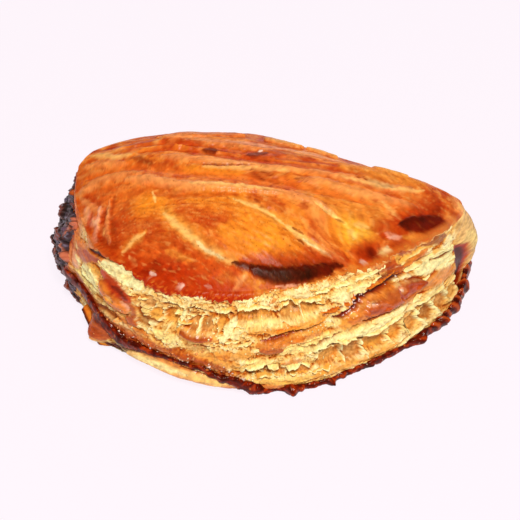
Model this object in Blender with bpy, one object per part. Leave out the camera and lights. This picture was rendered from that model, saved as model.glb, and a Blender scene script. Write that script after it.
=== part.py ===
"""Apple turnover: one solid of folded puff pastry, baked.

A round of dough folded over its filling makes a half-moon. The fold is the tall rounded back (+Y), the cut edge
is the curved front (-Y), where the baked leaves of dough show between the glazed lid and the tray. Syrup that
ran out along the seam has set as a thin hard rim round the foot; at the left corner it climbs and burns.

The skin is one closed grid in polar form round the plan's middle. Its rows run from the middle of the underside,
up the wall to the shoulder, and over the lid to the crown. Sizes are in millimetres until the mesh is made.
Angles are in degrees from +X, so the front is at 270 and the two corners are near 21 and 160.
"""

import bpy
import numpy as np

MM = 0.001

# Plan and shoulder at stations round the middle: angle, foot radius, shoulder radius, shoulder height
STATIONS = np.array(
    (
        (-90, 42.0, 30.0, 36.5),
        (-65, 43.8, 30.0, 36.5),
        (-42, 47.0, 32.0, 36.0),
        (-20, 56.8, 38.5, 35.0),
        (0, 71.0, 50.0, 32.5),
        (12, 76.0, 66.0, 29.5),
        (21, 78.5, 76.5, 27.5),
        (32, 69.0, 61.0, 31.0),
        (60, 51.0, 44.5, 40.0),
        (90, 47.0, 41.0, 46.0),
        (118, 53.0, 45.0, 47.0),
        (140, 66.0, 61.0, 45.5),
        (153, 73.5, 69.0, 43.5),
        (165, 72.0, 66.0, 39.5),
        (176, 67.0, 60.5, 37.5),
        (188, 60.0, 54.5, 36.0),
        (198, 57.5, 48.5, 36.0),
        (214, 51.0, 42.0, 36.0),
        (232, 46.5, 36.5, 36.5),
    ),
    float,
)
CROWN = (-12.0, 12.0, 53.0)  # highest point of the lid
LID_ROUNDNESS = 2.2  # power of the lid's fall towards the front
FOLD_ROUNDNESS = 1.0  # how much rounder it is over the fold
WALL_BELLY = 2.6  # how far the wall swells at half height
FOLD_UPRIGHT = 1.6  # how much longer the folded back stays upright before it turns in
FOOT_TUCK = 2.0  # how far the foot draws in, over its lowest millimetres
FOOT_HEIGHT = 5.0

# Knife cuts in the lid, each through plan points (x, y)
CUTS = (
    ((-64, 16), (-50, 14), (-40, 9.5), (-25, 5.5), (-8, 3.5), (12, 2.5), (24, -1), (32, -4)),
    ((-37, 4), (-33, -3), (-24, -12), (-14, -19), (-5, -24)),
    ((-34, -5), (-38, -8), (-45, -11)),
    ((-9, 1), (-2, -4), (10, -10.5), (20, -15), (28, -17)),
    ((-42, 21), (-20, 17.5), (2, 14), (24, 11), (44, 11), (60, 14)),
    ((-60, 32), (-48, 26), (-22, 24.5), (4, 22), (26, 18), (44, 17.5), (60, 21)),
    ((-40, 27), (-24, 33), (-4, 31), (12, 27)),
)
CUT_DEPTH = 1.4
CUT_HALF_WIDTH = 1.5
PANEL_PUFF = 1.5  # how far the lid rises between two cuts
PANEL_REACH = 5.0

# Welts where a cut's lip lifted in the oven, through plan points
WELTS = (
    ((-9, -23.5), (2, -24.5), (14, -22), (27, -17.5)),
    ((49, 5), (56, 8), (61, 11.5), (66, 18)),
)
WELT_HEIGHT = 1.6
WELT_HALF_WIDTH = 2.2

# The leaves of dough, which show from one angle to the other round the front
LEAF_PITCH = 4.6
LEAF_DEPTH = 1.5
LEAF_WANDER = 2.6  # how far a leaf's edge rises and falls as it goes round
LEAF_WAVE, LEAF_TEAR = 13.0, 6.5  # lengths of its waves and of its torn stretches
LEAF_CRUMB = 0.6
LEAVES_FROM, LEAVES_TO, LEAVES_FADE = 178.0, 374.0, 10.0

# Hollows (-) and swellings (+) of the wall: angle, half angle, height and half height as shares of the wall, reach
WALL_FORMS = (
    (224, 7, 0.72, 0.08, -2.2),
    (244, 9, 0.76, 0.07, -2.2),
    (264, 11, 0.78, 0.05, -2.4),
    (288, 7, 0.80, 0.06, -3.0),
    (302, 8, 0.80, 0.05, -2.2),
    (277, 13, 0.25, 0.06, -2.4),
    (308, 11, 0.25, 0.11, -3.0),
    (328, 12, 0.24, 0.10, -2.6),
    (350, 12, 0.24, 0.10, -2.2),
    (200, 8, 0.68, 0.11, 2.2),
    (239, 7, 0.58, 0.04, 1.8),
    (277, 8, 0.52, 0.06, 1.6),
    (333, 16, 0.62, 0.10, 2.8),
    (320, 35, 0.44, 0.05, 1.6),
    (232, 26, 0.08, 0.11, 0.8),
    (224, 30, 0.96, 0.04, 1.2),
    (314, 36, 0.95, 0.04, 1.2),
)
SEAM = ((276, 0.62), (300, 0.65), (315, 0.66), (322, 0.72), (338, 0.76), (348, 0.80))  # lid dough over base dough
SEAM_DEPTH = 1.6
SEAM_HALF_HEIGHT = 0.03

# The hard rim of set syrup: angle, height of its middle, reach
RIM = np.array(
    (
        (150, 8.0, 0.0),
        (168, 9.0, 2.4),
        (185, 8.5, 3.2),
        (200, 8.5, 3.2),
        (225, 8.6, 1.6),
        (244, 8.0, 1.4),
        (256, 5.6, 2.0),
        (266, 2.6, 2.8),
        (275, 2.0, 3.0),
        (310, 1.9, 2.6),
        (350, 2.0, 3.0),
        (368, 3.2, 2.6),
        (384, 4.0, 0.0),
    ),
    float,
)
RIM_HALF_HEIGHT = 2.0
RIM_BEADS = ((285, 3, 2.4), (303, 3, 2.8), (342, 3, 2.6), (356, 3, 2.0))  # drips: angle, half angle, reach

# Crisp lumps at the corners and the base dough's lip on the tray: angle, half angle, height, half height, reach
CORNER_FORMS = (
    (166, 11, 15, 12, 3.0),
    (150, 8, 20, 9, 1.4),
    (197, 4, 4, 6, 4.5),
    (232, 24, 3, 3, 1.4),
    (16, 7, 13, 9, 2.2),
)

COLUMNS = 420
FOOT_ROWS, WALL_ROWS, LID_ROWS = 8, 56, 64
TRIANGLES = 11000  # of the finished solid
FLAT_WITHIN = 0.03
SEED = 7


def from_fold(angle):
    """The same angle counted from the middle of the fold, 90, to 450."""
    return (angle - 90) % 360 + 90


def through_stations(angle, column):
    """A smooth closed curve through the stations: cubic Hermite pieces whose slopes are central differences."""
    knots, values = STATIONS[:, 0], STATIONS[:, column]
    knots = np.concatenate((knots - 360, knots, knots + 360))
    values = np.tile(values, 3)
    slopes = np.zeros_like(values)
    slopes[1:-1] = (values[2:] - values[:-2]) / (knots[2:] - knots[:-2])
    turned = (angle + 90) % 360 - 90
    at = np.searchsorted(knots, turned, side="right") - 1
    step = knots[at + 1] - knots[at]
    t = (turned - knots[at]) / step
    start = (2 * t**3 - 3 * t**2 + 1) * values[at] + (t**3 - 2 * t**2 + t) * step * slopes[at]
    end = (3 * t**2 - 2 * t**3) * values[at + 1] + (t**3 - t**2) * step * slopes[at + 1]
    return start + end


def smooth_line(points, samples=40):
    """Points on a Catmull-Rom curve through the given ones."""
    given = np.array(points, float)
    padded = np.vstack((2 * given[0] - given[1], given, 2 * given[-1] - given[-2]))
    t = np.linspace(0, len(given) - 1 - 1e-9, samples)
    k = t.astype(int)
    f = (t - k)[:, None]
    a, b, c, d = (padded[k + i] for i in range(4))
    return 0.5 * (2 * b + (c - a) * f + (2 * a - 5 * b + 4 * c - d) * f**2 + (3 * b - a - 3 * c + d) * f**3)


def distance_to(line, x, y):
    """Distance in plan from each point to a line, and the share of the line's length where it is nearest."""
    best = np.full(np.shape(x), np.inf)
    share = np.zeros(np.shape(x))
    for i, (start, end) in enumerate(zip(line[:-1], line[1:])):
        along = end - start
        t = np.clip(((x - start[0]) * along[0] + (y - start[1]) * along[1]) / (along @ along), 0, 1)
        away = np.hypot(x - start[0] - t * along[0], y - start[1] - t * along[1])
        nearer = away < best
        best = np.where(nearer, away, best)
        share = np.where(nearer, (i + t) / (len(line) - 1), share)
    return best, share


def bell(distance, half_width):
    """A bump that is 1 in the middle and fades to nothing a little past its half width."""
    return np.exp(-((distance / half_width) ** 2))


def ease(t):
    """0 below 0, 1 above 1, and a smooth step between."""
    t = np.clip(t, 0, 1)
    return t * t * (3 - 2 * t)


def ripple(place, size, seed):
    """Smooth unevenness between about -1 and 1 with bumps of the given size: a sum of waves with random headings."""
    draw = np.random.default_rng(seed)
    total = 0.0
    for _ in range(9):
        heading = draw.normal(size=len(place))
        heading /= np.linalg.norm(heading) * size * draw.uniform(1.3, 3.2)
        phase = draw.uniform(0, 2 * np.pi)
        total = total + np.sin(2 * np.pi * sum(h * p for h, p in zip(heading, place)) + phase)
    return total / 4.5


def angle_gap(angle, middle):
    """Signed angle from the middle, between -180 and 180 degrees."""
    return (angle - middle + 180) % 360 - 180


def front_mask(angle):
    """1 where the cut edge shows its leaves, 0 round the folded back."""
    turned = from_fold(angle)
    rising = ease((turned - LEAVES_FROM) / LEAVES_FADE + 0.5)
    return rising * ease((LEAVES_TO - turned) / LEAVES_FADE + 0.5)


def leaves(angle, place):
    """The stepped edges of the leaves of dough: each comes out slowly from below and turns in sharply above."""
    tilt = 0.05 * np.clip(angle_gap(angle, 300), 0, 60)  # the leaves climb towards the right corner
    layer = place[2] + LEAF_WANDER * ripple((place[0], place[1], place[2] * 1.5), LEAF_WAVE, SEED) + tilt
    step = (layer / LEAF_PITCH) % 1
    edge = np.where(step < 0.75, step / 0.75, (1 - step) / 0.25) - 0.5
    ragged = 0.75 + 0.6 * ripple(place, LEAF_TEAR, SEED + 1)
    return LEAF_DEPTH * ragged * edge + LEAF_CRUMB * ripple(place, 0.5 * LEAF_TEAR, SEED + 2)


def wall_forms(angle, share):
    """The wall's hollows and swellings, and how much each place belongs to one."""
    reach = np.zeros_like(share)
    belongs = np.zeros_like(share)
    for at, half, height, half_height, out in WALL_FORMS:
        here = bell(angle_gap(angle, at), half) * bell(share - height, half_height)
        reach = reach + out * here
        belongs = np.maximum(belongs, here)
    return reach, belongs


def seam(angle, share):
    """The groove where the lid's dough meets the base's, along the front right."""
    turned = from_fold(angle)
    knots, heights = zip(*SEAM)
    present = ease((turned - knots[0] + 3) / 6) * ease((knots[-1] + 3 - turned) / 6)
    return -SEAM_DEPTH * bell(share - np.interp(turned, knots, heights), SEAM_HALF_HEIGHT) * present


def set_syrup(angle, z):
    """The hard rim round the foot, with its drips."""
    turned = from_fold(angle)
    turn = np.radians(angle)
    reach = np.interp(turned, RIM[:, 0], RIM[:, 2])
    uneven = 1 + 0.3 * ripple((60 * np.cos(turn), 60 * np.sin(turn)), 9, SEED + 3)
    drips = sum(out * bell(angle_gap(angle, at), half) for at, half, out in RIM_BEADS)
    return (reach * uneven + 0.6 * drips) * bell(z - np.interp(turned, RIM[:, 0], RIM[:, 1]), RIM_HALF_HEIGHT)


def wall_relief(angle, share, z):
    """All that stands out from the plain wall or goes into it."""
    front = front_mask(angle)
    turn = np.radians(angle)
    place = (55 * np.cos(turn), 55 * np.sin(turn), z)
    forms, belongs = wall_forms(angle, share)
    ends = ease(share / 0.08) * ease((1 - share) / 0.05)
    relief = front * ends * (leaves(angle, place) * (1 - 0.7 * belongs) + forms + seam(angle, share))
    for at, half, height, half_height, out in CORNER_FORMS:
        rough = 1 + 0.25 * ripple(place, 5, SEED + 4)
        relief = relief + out * rough * bell(angle_gap(angle, at), half) * bell(z - height, half_height)
    creases = 0.5 * (1 - front) * ends * ripple((place[0], place[1], z * 0.4), 9, SEED + 5)
    return relief + creases + set_syrup(angle, z)


def wall_point(angle, share):
    """A point of the wall, from the foot (share 0) to the shoulder (share 1)."""
    foot, shoulder, height = (through_stations(angle, k) for k in (1, 2, 3))
    z = height * share
    turn_in = share ** (1 + FOLD_UPRIGHT * (1 - front_mask(angle)))
    tuck = FOOT_TUCK * np.clip(1 - z / FOOT_HEIGHT, 0, 1) ** 2
    radius = foot + (shoulder - foot) * turn_in + WALL_BELLY * np.sin(np.pi * share) - tuck
    radius = radius + wall_relief(angle, share, z)
    turn = np.radians(angle)
    return np.stack((radius * np.cos(turn), radius * np.sin(turn), z), -1)


def lid_relief(x, y):
    """Cuts, the puffed panels between them and the lifted welts."""
    cut = np.zeros_like(x)
    nearest = np.full_like(x, np.inf)
    for points in CUTS:
        away, share = distance_to(smooth_line(points), x, y)
        fade = ease(share / 0.12) * ease((1 - share) / 0.12)
        cut = np.maximum(cut, bell(away, CUT_HALF_WIDTH) * (0.3 + 0.7 * fade))
        nearest = np.minimum(nearest, away)
    welts = np.zeros_like(x)
    for points in WELTS:
        away, share = distance_to(smooth_line(points), x, y)
        welts = np.maximum(welts, bell(away, WELT_HALF_WIDTH * (0.4 + 0.6 * np.sin(np.pi * share))))
    puff = PANEL_PUFF * (1 - np.exp(-nearest / PANEL_REACH))
    return puff - CUT_DEPTH * cut + WELT_HEIGHT * welts + 0.35 * ripple((x, y), 9, SEED + 6)


def lid_point(angle, share):
    """A point of the lid, from the crown (share 0) to the shoulder (share 1)."""
    turn = np.radians(angle)
    shoulder, height = through_stations(angle, 2), through_stations(angle, 3)
    x = CROWN[0] * (1 - share) + share * shoulder * np.cos(turn)
    y = CROWN[1] * (1 - share) + share * shoulder * np.sin(turn)
    power = LID_ROUNDNESS + FOLD_ROUNDNESS * np.clip(np.sin(turn), 0, 1)
    z = height + (CROWN[2] - height) * (1 - share**power)
    return np.stack((x, y, z + lid_relief(x, y) * ease((1 - share) / 0.06)), -1)


def skin():
    """The rows of the skin, from the underside's first ring to the lid's last, each COLUMNS points round."""
    angle = np.linspace(0, 360, COLUMNS, endpoint=False)[None, :]
    wall = wall_point(angle, np.linspace(0, 1, WALL_ROWS)[:, None] + 0 * angle)
    underside = wall[:1] * np.linspace(0.15, 0.97, FOOT_ROWS)[:, None, None]
    lid = lid_point(angle, np.linspace(1, 0, LID_ROWS + 1)[1:-1, None] + 0 * angle)
    return np.concatenate((underside, wall, lid))


def closed_grid(rows):
    """Vertices and faces of the rows, closed round, with a fan to a middle point at each end."""
    count, columns = rows.shape[:2]
    middle = rows[0].mean(0)
    crown = rows[-1].mean(0)
    points = np.vstack((rows.reshape(-1, 3), middle, crown))
    at = np.arange(columns)
    beside = (at + 1) % columns
    faces = []
    for row in range(count - 1):
        low, high = row * columns, (row + 1) * columns
        faces += np.stack((low + at, low + beside, high + beside, high + at), 1).tolist()
    last = (count - 1) * columns
    faces += np.stack((beside, at, np.full(columns, count * columns)), 1).tolist()
    faces += np.stack((last + at, last + beside, np.full(columns, count * columns + 1)), 1).tolist()
    return points, faces


def centred(points):
    """The points moved so that the middle of the foot of their box is at the origin."""
    low, high = points.min(0), points.max(0)
    return points - ((low[0] + high[0]) / 2, (low[1] + high[1]) / 2, low[2])


def baked_pastry():
    """The material: egg-washed pastry, golden brown."""
    material = bpy.data.materials.new("baked_pastry")
    material.use_nodes = True
    shader = material.node_tree.nodes["Principled BSDF"]
    shader.inputs["Base Color"].default_value = (0.72, 0.27, 0.06, 1)
    shader.inputs["Roughness"].default_value = 0.42
    shader.inputs["Metallic"].default_value = 0.0
    return material


def thinned(obj, triangles):
    """Gives obj a mesh of about so many triangles that keeps its relief, its flat underside and its place."""
    thin = obj.modifiers.new("thin", "DECIMATE")
    corners = sum(len(face.vertices) - 2 for face in obj.data.polygons)
    thin.ratio = triangles / corners
    graph = bpy.context.evaluated_depsgraph_get()
    mesh = bpy.data.meshes.new_from_object(obj.evaluated_get(graph))
    obj.modifiers.remove(thin)
    points = np.empty(len(mesh.vertices) * 3)
    mesh.vertices.foreach_get("co", points)
    points = points.reshape(-1, 3) / MM
    points[points[:, 2] < FLAT_WITHIN, 2] = 0
    mesh.vertices.foreach_set("co", (centred(points) * MM).ravel())
    obj.data = mesh


def build():
    for obj in list(bpy.data.objects):
        bpy.data.objects.remove(obj)
    points, faces = closed_grid(skin())
    mesh = bpy.data.meshes.new("turnover")
    mesh.from_pydata((centred(points) * MM).tolist(), [], faces)
    mesh.materials.append(baked_pastry())
    turnover = bpy.data.objects.new("turnover", mesh)
    bpy.context.scene.collection.objects.link(turnover)
    thinned(turnover, TRIANGLES)
    turnover.data.shade_smooth()


build()
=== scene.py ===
"""The looks of a baked apple turnover: glazed lid, flaky front wall, rounded fold, set syrup and crumbs.

Every piece is a surface worked out with numpy on a grid. Inside the shape functions lengths are millimetres
in the maker's plan, whose middle is the point that the leaves of dough run round. Angles are degrees from +X,
a is the way along the wall, z the height, and share how far up the wall or out over the lid a point is.
"""

import math

import bpy
import mathutils
import numpy as np
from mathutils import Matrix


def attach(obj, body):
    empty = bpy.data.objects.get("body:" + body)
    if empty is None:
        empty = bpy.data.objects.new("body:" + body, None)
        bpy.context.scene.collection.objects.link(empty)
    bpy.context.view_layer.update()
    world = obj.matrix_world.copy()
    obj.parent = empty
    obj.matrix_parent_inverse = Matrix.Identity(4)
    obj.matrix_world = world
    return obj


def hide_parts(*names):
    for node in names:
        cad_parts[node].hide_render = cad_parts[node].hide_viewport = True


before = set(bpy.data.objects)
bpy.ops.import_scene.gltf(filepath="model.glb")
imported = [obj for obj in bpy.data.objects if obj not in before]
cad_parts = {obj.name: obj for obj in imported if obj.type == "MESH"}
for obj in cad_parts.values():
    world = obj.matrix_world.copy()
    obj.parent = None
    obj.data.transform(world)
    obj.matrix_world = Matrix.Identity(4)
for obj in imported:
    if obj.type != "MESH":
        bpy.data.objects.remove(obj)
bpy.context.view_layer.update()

bl_info = {
    "name": "Apple turnover",
    "version": (1, 0, 0),
    "blender": (4, 5, 0),
    "location": "View3D > Sidebar > Turnover",
    "description": "Dresses the packed apple turnover: crust, leaves of dough, syrup and crumbs",
    "category": "Add Mesh",
}

MM = 0.001
PLAN_MIDDLE = (1.43, 1.88)  # of the solid's box, in the maker's plan

# Plan and shoulder at stations round the middle: angle, foot radius, shoulder radius, shoulder height
STATIONS = np.array((
    (-90, 42, 30, 36.5),
    (-65, 43.8, 30, 36.5),
    (-42, 47, 32, 36),
    (-20, 56.8, 38.5, 35),
    (0, 71, 50, 32.5),
    (12, 76, 66, 29.5),
    (21, 78.5, 76.5, 27.5),
    (32, 69, 61, 31),
    (60, 51, 44.5, 40),
    (90, 47, 41, 46),
    (118, 53, 45, 47),
    (140, 66, 61, 45.5),
    (153, 73.5, 69, 43.5),
    (165, 72, 66, 39.5),
    (176, 67, 60.5, 37.5),
    (188, 60, 54.5, 36),
    (198, 57.5, 48.5, 36),
    (214, 51, 42, 36),
    (232, 46.5, 36.5, 36.5),
), float)
CROWN = (-12.0, 12.0, 53.0)
LID_ROUNDNESS, FOLD_ROUNDNESS = 2.2, 1.0
WALL_BELLY, FOLD_UPRIGHT = 2.6, 1.6
FOOT_TUCK, FOOT_HEIGHT = 2.0, 5.0
LEAVES_FROM, LEAVES_TO, LEAVES_FADE = 178.0, 374.0, 10.0


# Hollows (-) and swellings (+) of the wall: angle, half angle, height and half height as shares of the wall,
# and how far out
WALL_FORMS = (
    (224, 7, 0.72, 0.08, -2.2),
    (244, 9, 0.76, 0.07, -2.2),
    (264, 11, 0.78, 0.05, -2.4),
    (288, 7, 0.8, 0.06, -3),
    (302, 8, 0.8, 0.05, -2.2),
    (277, 13, 0.25, 0.06, -2.4),
    (308, 11, 0.25, 0.11, -3),
    (328, 12, 0.24, 0.1, -2.6),
    (350, 12, 0.24, 0.1, -2.2),
    (200, 8, 0.68, 0.11, 2.2),
    (239, 7, 0.58, 0.04, 1.8),
    (277, 8, 0.52, 0.06, 1.6),
    (333, 16, 0.62, 0.1, 2.8),
    (320, 35, 0.44, 0.05, 1.6),
    (232, 26, 0.08, 0.11, 0.8),
    (224, 30, 0.96, 0.04, 1.2),
    (314, 36, 0.95, 0.04, 1.2),
)
# The same round the corners and the foot, with the height and the half height in millimetres
CORNER_FORMS = (
    (166, 11, 15, 12, 3),
    (150, 8, 20, 9, 1.4),
    (197, 4, 4, 6, 4.5),
    (232, 24, 3, 3, 1.4),
    (16, 7, 13, 9, 2.2),
)

# The hard rim of set syrup: angle, height of its middle, reach, half height
RIM = np.array((
    (150, 6, 0.4, 0.6),
    (168, 11, 1.2, 1.6),
    (178, 13.5, 1.6, 2.2),
    (186, 14, 1.5, 2),
    (196, 12.6, 1.6, 2),
    (203, 10.2, 2, 2.4),
    (211, 8.8, 2.2, 2.2),
    (218, 9.6, 1.4, 1.2),
    (226, 10, 0.8, 0.7),
    (237, 10, 0.7, 0.6),
    (245, 9.5, 1, 0.9),
    (250, 7.7, 1.7, 1.2),
    (256, 6.5, 1.8, 1.4),
    (262, 5, 2.4, 2.4),
    (268, 2.8, 2.4, 2.4),
    (272, 1.2, 1.5, 1),
    (278, 1, 1, 0.7),
    (284, 1.8, 2, 1.5),
    (290, 1.3, 1.4, 1),
    (312, 1.3, 1.3, 1),
    (336, 1.5, 1.6, 1.2),
    (350, 2.2, 2.4, 1.8),
    (362, 3.4, 2.6, 2.8),
    (370, 4.2, 2.4, 3.2),
    (378, 3.4, 1.6, 2),
    (384, 3, 0.4, 0.8),
), float)


# ---------- numbers on a surface


def ease(t):
    """0 below 0, 1 above 1, and a smooth step between."""
    t = np.clip(t, 0, 1)
    return t * t * (3 - 2 * t)


def bell(distance, half_width):
    """A bump that is 1 in the middle and fades to nothing a little past its half width."""
    return np.exp(-((distance / half_width) ** 2))


NOISE_TABLE = 256
OCTAVE_SHIFT = 17.3
NOISE_GAIN = 1.5


def grain(place, size, seed, octaves=3):
    """Gradient noise between about -1 and 1: a random slope at each whole-number corner, eased between them,
    summed over octaves of half the size and half the strength. place holds two or three arrays."""
    draw = np.random.default_rng(seed)
    table = draw.permutation(NOISE_TABLE)
    slopes = draw.normal(size=(NOISE_TABLE, 3))
    slopes /= np.linalg.norm(slopes, axis=1, keepdims=True)
    place = [np.asarray(p, float) / s for p, s in zip(place, np.broadcast_to(size, len(place)))]
    place = np.broadcast_arrays(*place)
    total, strength = 0.0, 1.0
    for octave in range(octaves):
        spots = [p * 2**octave + OCTAVE_SHIFT * octave for p in place]
        lows = [np.floor(s).astype(int) for s in spots]
        parts = [s - low for s, low in zip(spots, lows)]
        fades = [p * p * p * (p * (p * 6 - 15) + 10) for p in parts]
        for corner in np.ndindex(*(2,) * len(place)):
            index = 0
            weight = 1.0
            for axis, side in enumerate(corner):
                index = table[(index + lows[axis] + side) & (NOISE_TABLE - 1)]
                weight = weight * (fades[axis] if side else 1 - fades[axis])
            lean = sum(slopes[index, axis] * (parts[axis] - side) for axis, side in enumerate(corner))
            total = total + strength * weight * lean
        strength *= 0.5
    return total * NOISE_GAIN


CELL_TABLE = 64
CELL_JITTER = (0.15, 0.85)  # where in its square a cell's point can lie


def cells(a, b, seed):
    """Cells round scattered points: how far the nearest point is, how far the border, and a random number."""
    draw = np.random.default_rng(seed)
    jitter = draw.uniform(*CELL_JITTER, (CELL_TABLE, CELL_TABLE, 2))
    mark = draw.uniform(0, 1, (CELL_TABLE, CELL_TABLE))
    ia, ib = np.floor(a).astype(int), np.floor(b).astype(int)
    first = np.full(a.shape, np.inf)
    second = np.full(a.shape, np.inf)
    number = np.zeros(a.shape)
    for da, db in np.ndindex(3, 3):
        ga, gb = ia + da - 1, ib + db - 1
        ja, jb = ga & (CELL_TABLE - 1), gb & (CELL_TABLE - 1)
        away = np.hypot(ga + jitter[ja, jb, 0] - a, gb + jitter[ja, jb, 1] - b)
        nearer = away < first
        second = np.where(nearer, first, np.minimum(second, away))
        number = np.where(nearer, mark[ja, jb], number)
        first = np.where(nearer, away, first)
    return first, second - first, number


def box_mean(values, half):
    """Mean over a square patch of a grid, this many points each way. Past its border the edge is repeated."""
    wide = 2 * half + 1
    for axis in (0, 1):
        values = np.swapaxes(values, 0, axis)
        padded = np.cumsum(np.pad(values, ((half + 1, half), (0, 0)), "edge"), 0)
        values = np.swapaxes((padded[wide:] - padded[:-wide]) / wide, 0, axis)
    return values


def smooth_line(points, samples=40):
    """Points on a Catmull-Rom curve through the given ones."""
    given = np.array(points, float)
    padded = np.vstack((2 * given[0] - given[1], given, 2 * given[-1] - given[-2]))
    t = np.linspace(0, len(given) - 1 - 1e-9, samples)
    k = t.astype(int)
    f = (t - k)[:, None]
    a, b, c, d = (padded[k + i] for i in range(4))
    return 0.5 * (2 * b + (c - a) * f + (2 * a - 5 * b + 4 * c - d) * f**2 + (3 * b - a - 3 * c + d) * f**3)


def distance_to(line, x, y):
    """Distance in plan from each point to a line, and the share of the line's length where it is nearest."""
    best = np.full(np.shape(x), np.inf)
    share = np.zeros(np.shape(x))
    for i, (start, end) in enumerate(zip(line[:-1], line[1:])):
        along = end - start
        t = np.clip(((x - start[0]) * along[0] + (y - start[1]) * along[1]) / (along @ along), 0, 1)
        away = np.hypot(x - start[0] - t * along[0], y - start[1] - t * along[1])
        nearer = away < best
        best = np.where(nearer, away, best)
        share = np.where(nearer, (i + t) / (len(line) - 1), share)
    return best, share


def between(pairs, at):
    """A value read off a table of pairs, straight between its rows."""
    return np.interp(at, *np.transpose(pairs))


def from_fold(angle):
    """The same angle counted from the middle of the fold, 90, to 450."""
    return (angle - 90) % 360 + 90


def angle_gap(angle, middle):
    """Signed angle from the middle, between -180 and 180 degrees."""
    return (angle - middle + 180) % 360 - 180


def placed(angle, radius, z):
    """Points at an angle and a distance round the middle, and at a height."""
    turn = np.radians(angle)
    return np.stack(np.broadcast_arrays(radius * np.cos(turn), radius * np.sin(turn), z), -1)


def swells(forms, angle, height):
    """The sum of hollows and swellings at an angle and a height. Each is a bell both ways."""
    total = 0.0
    for at, half, middle, half_height, out in forms:
        total = total + out * bell(angle_gap(angle, at), half) * bell(height - middle, half_height)
    return total


def through_stations(angle, column):
    """A smooth closed curve through the stations: cubic pieces whose slopes are central differences."""
    knots, values = STATIONS[:, 0], STATIONS[:, column]
    knots = np.concatenate((knots - 360, knots, knots + 360))
    values = np.tile(values, 3)
    slopes = np.zeros_like(values)
    slopes[1:-1] = (values[2:] - values[:-2]) / (knots[2:] - knots[:-2])
    turned = (angle + 90) % 360 - 90
    at = np.searchsorted(knots, turned, side="right") - 1
    step = knots[at + 1] - knots[at]
    t = (turned - knots[at]) / step
    start = (2 * t**3 - 3 * t**2 + 1) * values[at] + (t**3 - 2 * t**2 + t) * step * slopes[at]
    end = (3 * t**2 - 2 * t**3) * values[at + 1] + (t**3 - t**2) * step * slopes[at + 1]
    return start + end


def front_mask(angle):
    """1 where the cut edge shows its leaves, 0 round the folded back."""
    turned = from_fold(angle)
    rising = ease((turned - LEAVES_FROM) / LEAVES_FADE + 0.5)
    return rising * ease((LEAVES_TO - turned) / LEAVES_FADE + 0.5)


# ---------- colour


def tone(red, green, blue):
    """A display colour, 0 to 255 each, as light values."""
    c = np.array((red, green, blue)) / 255
    return np.where(c <= 0.04045, c / 12.92, ((c + 0.055) / 1.055) ** 2.4)


def blend(under, over, share):
    """The colours under covered by the colour over, by a share between 0 and 1."""
    share = np.clip(share, 0, 1)[..., None]
    return under * (1 - share) + over * share


def plain_coat(colour, like):
    """One colour at every point of an array."""
    return np.broadcast_to(colour, np.shape(like) + (3,)).copy()


def coated(paint, *coats):
    """The paint under several coats, laid one after the other. Each is the name of a colour and its share."""
    for colour, share in coats:
        paint = blend(paint, DOUGH[colour], share)
    return paint


def shaded(paint, change, low=0.5, high=1.5):
    """The paint made lighter or darker by a share, within limits."""
    return paint * np.clip(1 + change, low, high)[..., None]


DOUGH = {
    "crumb": tone(247, 209, 132),
    "crust": tone(230, 126, 46),
    "syrup": tone(120, 38, 8),
    "cream": tone(255, 243, 184),
    "pale": tone(253, 228, 154),
    "gold": tone(247, 196, 102),
    "amber": tone(238, 166, 72),
    "orange": tone(224, 132, 46),
    "toffee": tone(198, 104, 38),
    "rust": tone(182, 84, 28),
    "red": tone(150, 40, 8),
    "brown": tone(132, 60, 22),
    "dark": tone(84, 26, 8),
    "black": tone(56, 22, 12),
    "beige": tone(232, 192, 130),
    "skin": tone(243, 202, 126),
    "grey": tone(200, 170, 120),
    "shadow": tone(150, 94, 44),
    # pink and peach: the crust's own colours, also laid as painted sheen and highlights on ridges, folds and
    # bulges
    "pink_and_sheen": tone(246, 188, 156),
    "peach_and_sheen": tone(243, 168, 104),
    "straw": tone(255, 206, 128),
    "glow": tone(250, 164, 46),
    "sun": tone(254, 196, 72),
    # pale sugar, also laid as painted glints on the glaze, the syrup and the bulge
    "sugar_and_glint": tone(255, 230, 212),
    "roast": tone(190, 72, 20),
    "glaze": tone(190, 60, 8),
    "ember": tone(226, 116, 42),
    "lead_sheen": tone(98, 86, 112),
    # broad mottles, bands and blotches of the crust, light then dark; on the bands the light is painted sheen
    # on the crests and the dark painted shade in the troughs
    "apricot": tone(244, 152, 54),
    "copper": tone(194, 78, 22),
    "sand_sheen": tone(246, 172, 96),
    "russet_shade": tone(184, 74, 26),
    "blond": tone(252, 172, 92),
    "sienna": tone(176, 64, 18),
    "biscuit": tone(236, 176, 96),
    # the torn wall, from its ridges down into its cracks: painted highlight on the ridges, painted shade
    # lower down
    "ivory": tone(255, 250, 214),
    "milk_highlight": tone(255, 241, 188),
    "custard_shade": tone(241, 178, 88),
    "honey": tone(236, 156, 62),
    "caramel_shade": tone(204, 120, 48),
    "scuff": tone(190, 112, 52),
    "crack": tone(150, 88, 42),
    "speck": tone(128, 68, 28),
    # the set syrup, with painted highlight and shade on its ribs
    "fudge": tone(230, 146, 70),
    "butterscotch_and_highlight": tone(196, 108, 54),
    "treacle": tone(188, 84, 24),
    "molasses": tone(72, 16, 4),
    "tar_and_shade": tone(64, 10, 2),
    # the burnt syrup; lead and lilac are painted sheen and glints on it
    "lilac_glint": tone(188, 176, 204),
    "salmon": tone(226, 140, 106),
    "clay": tone(214, 120, 54),
    "umber": tone(150, 66, 26),
    "cinder": tone(140, 66, 40),
    "ash": tone(84, 60, 66),
    "soot": tone(24, 16, 22),
    # the underside
    "tan": tone(214, 142, 74),
    "bark": tone(176, 96, 42),
}


STROKE_WANDER = ((0.55, 3.0), (0.45, 2.4))  # how far a stroke is bent each way, and over what length
STROKE_SHADE = 0.32  # how unevenly it covers
STROKE_END = 0.3  # its width at the ends, as a share of that in the middle
WELT_FLATTENS = (1.4, 0.85)  # how much a glossy welt smooths what it covers, and the most


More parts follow.
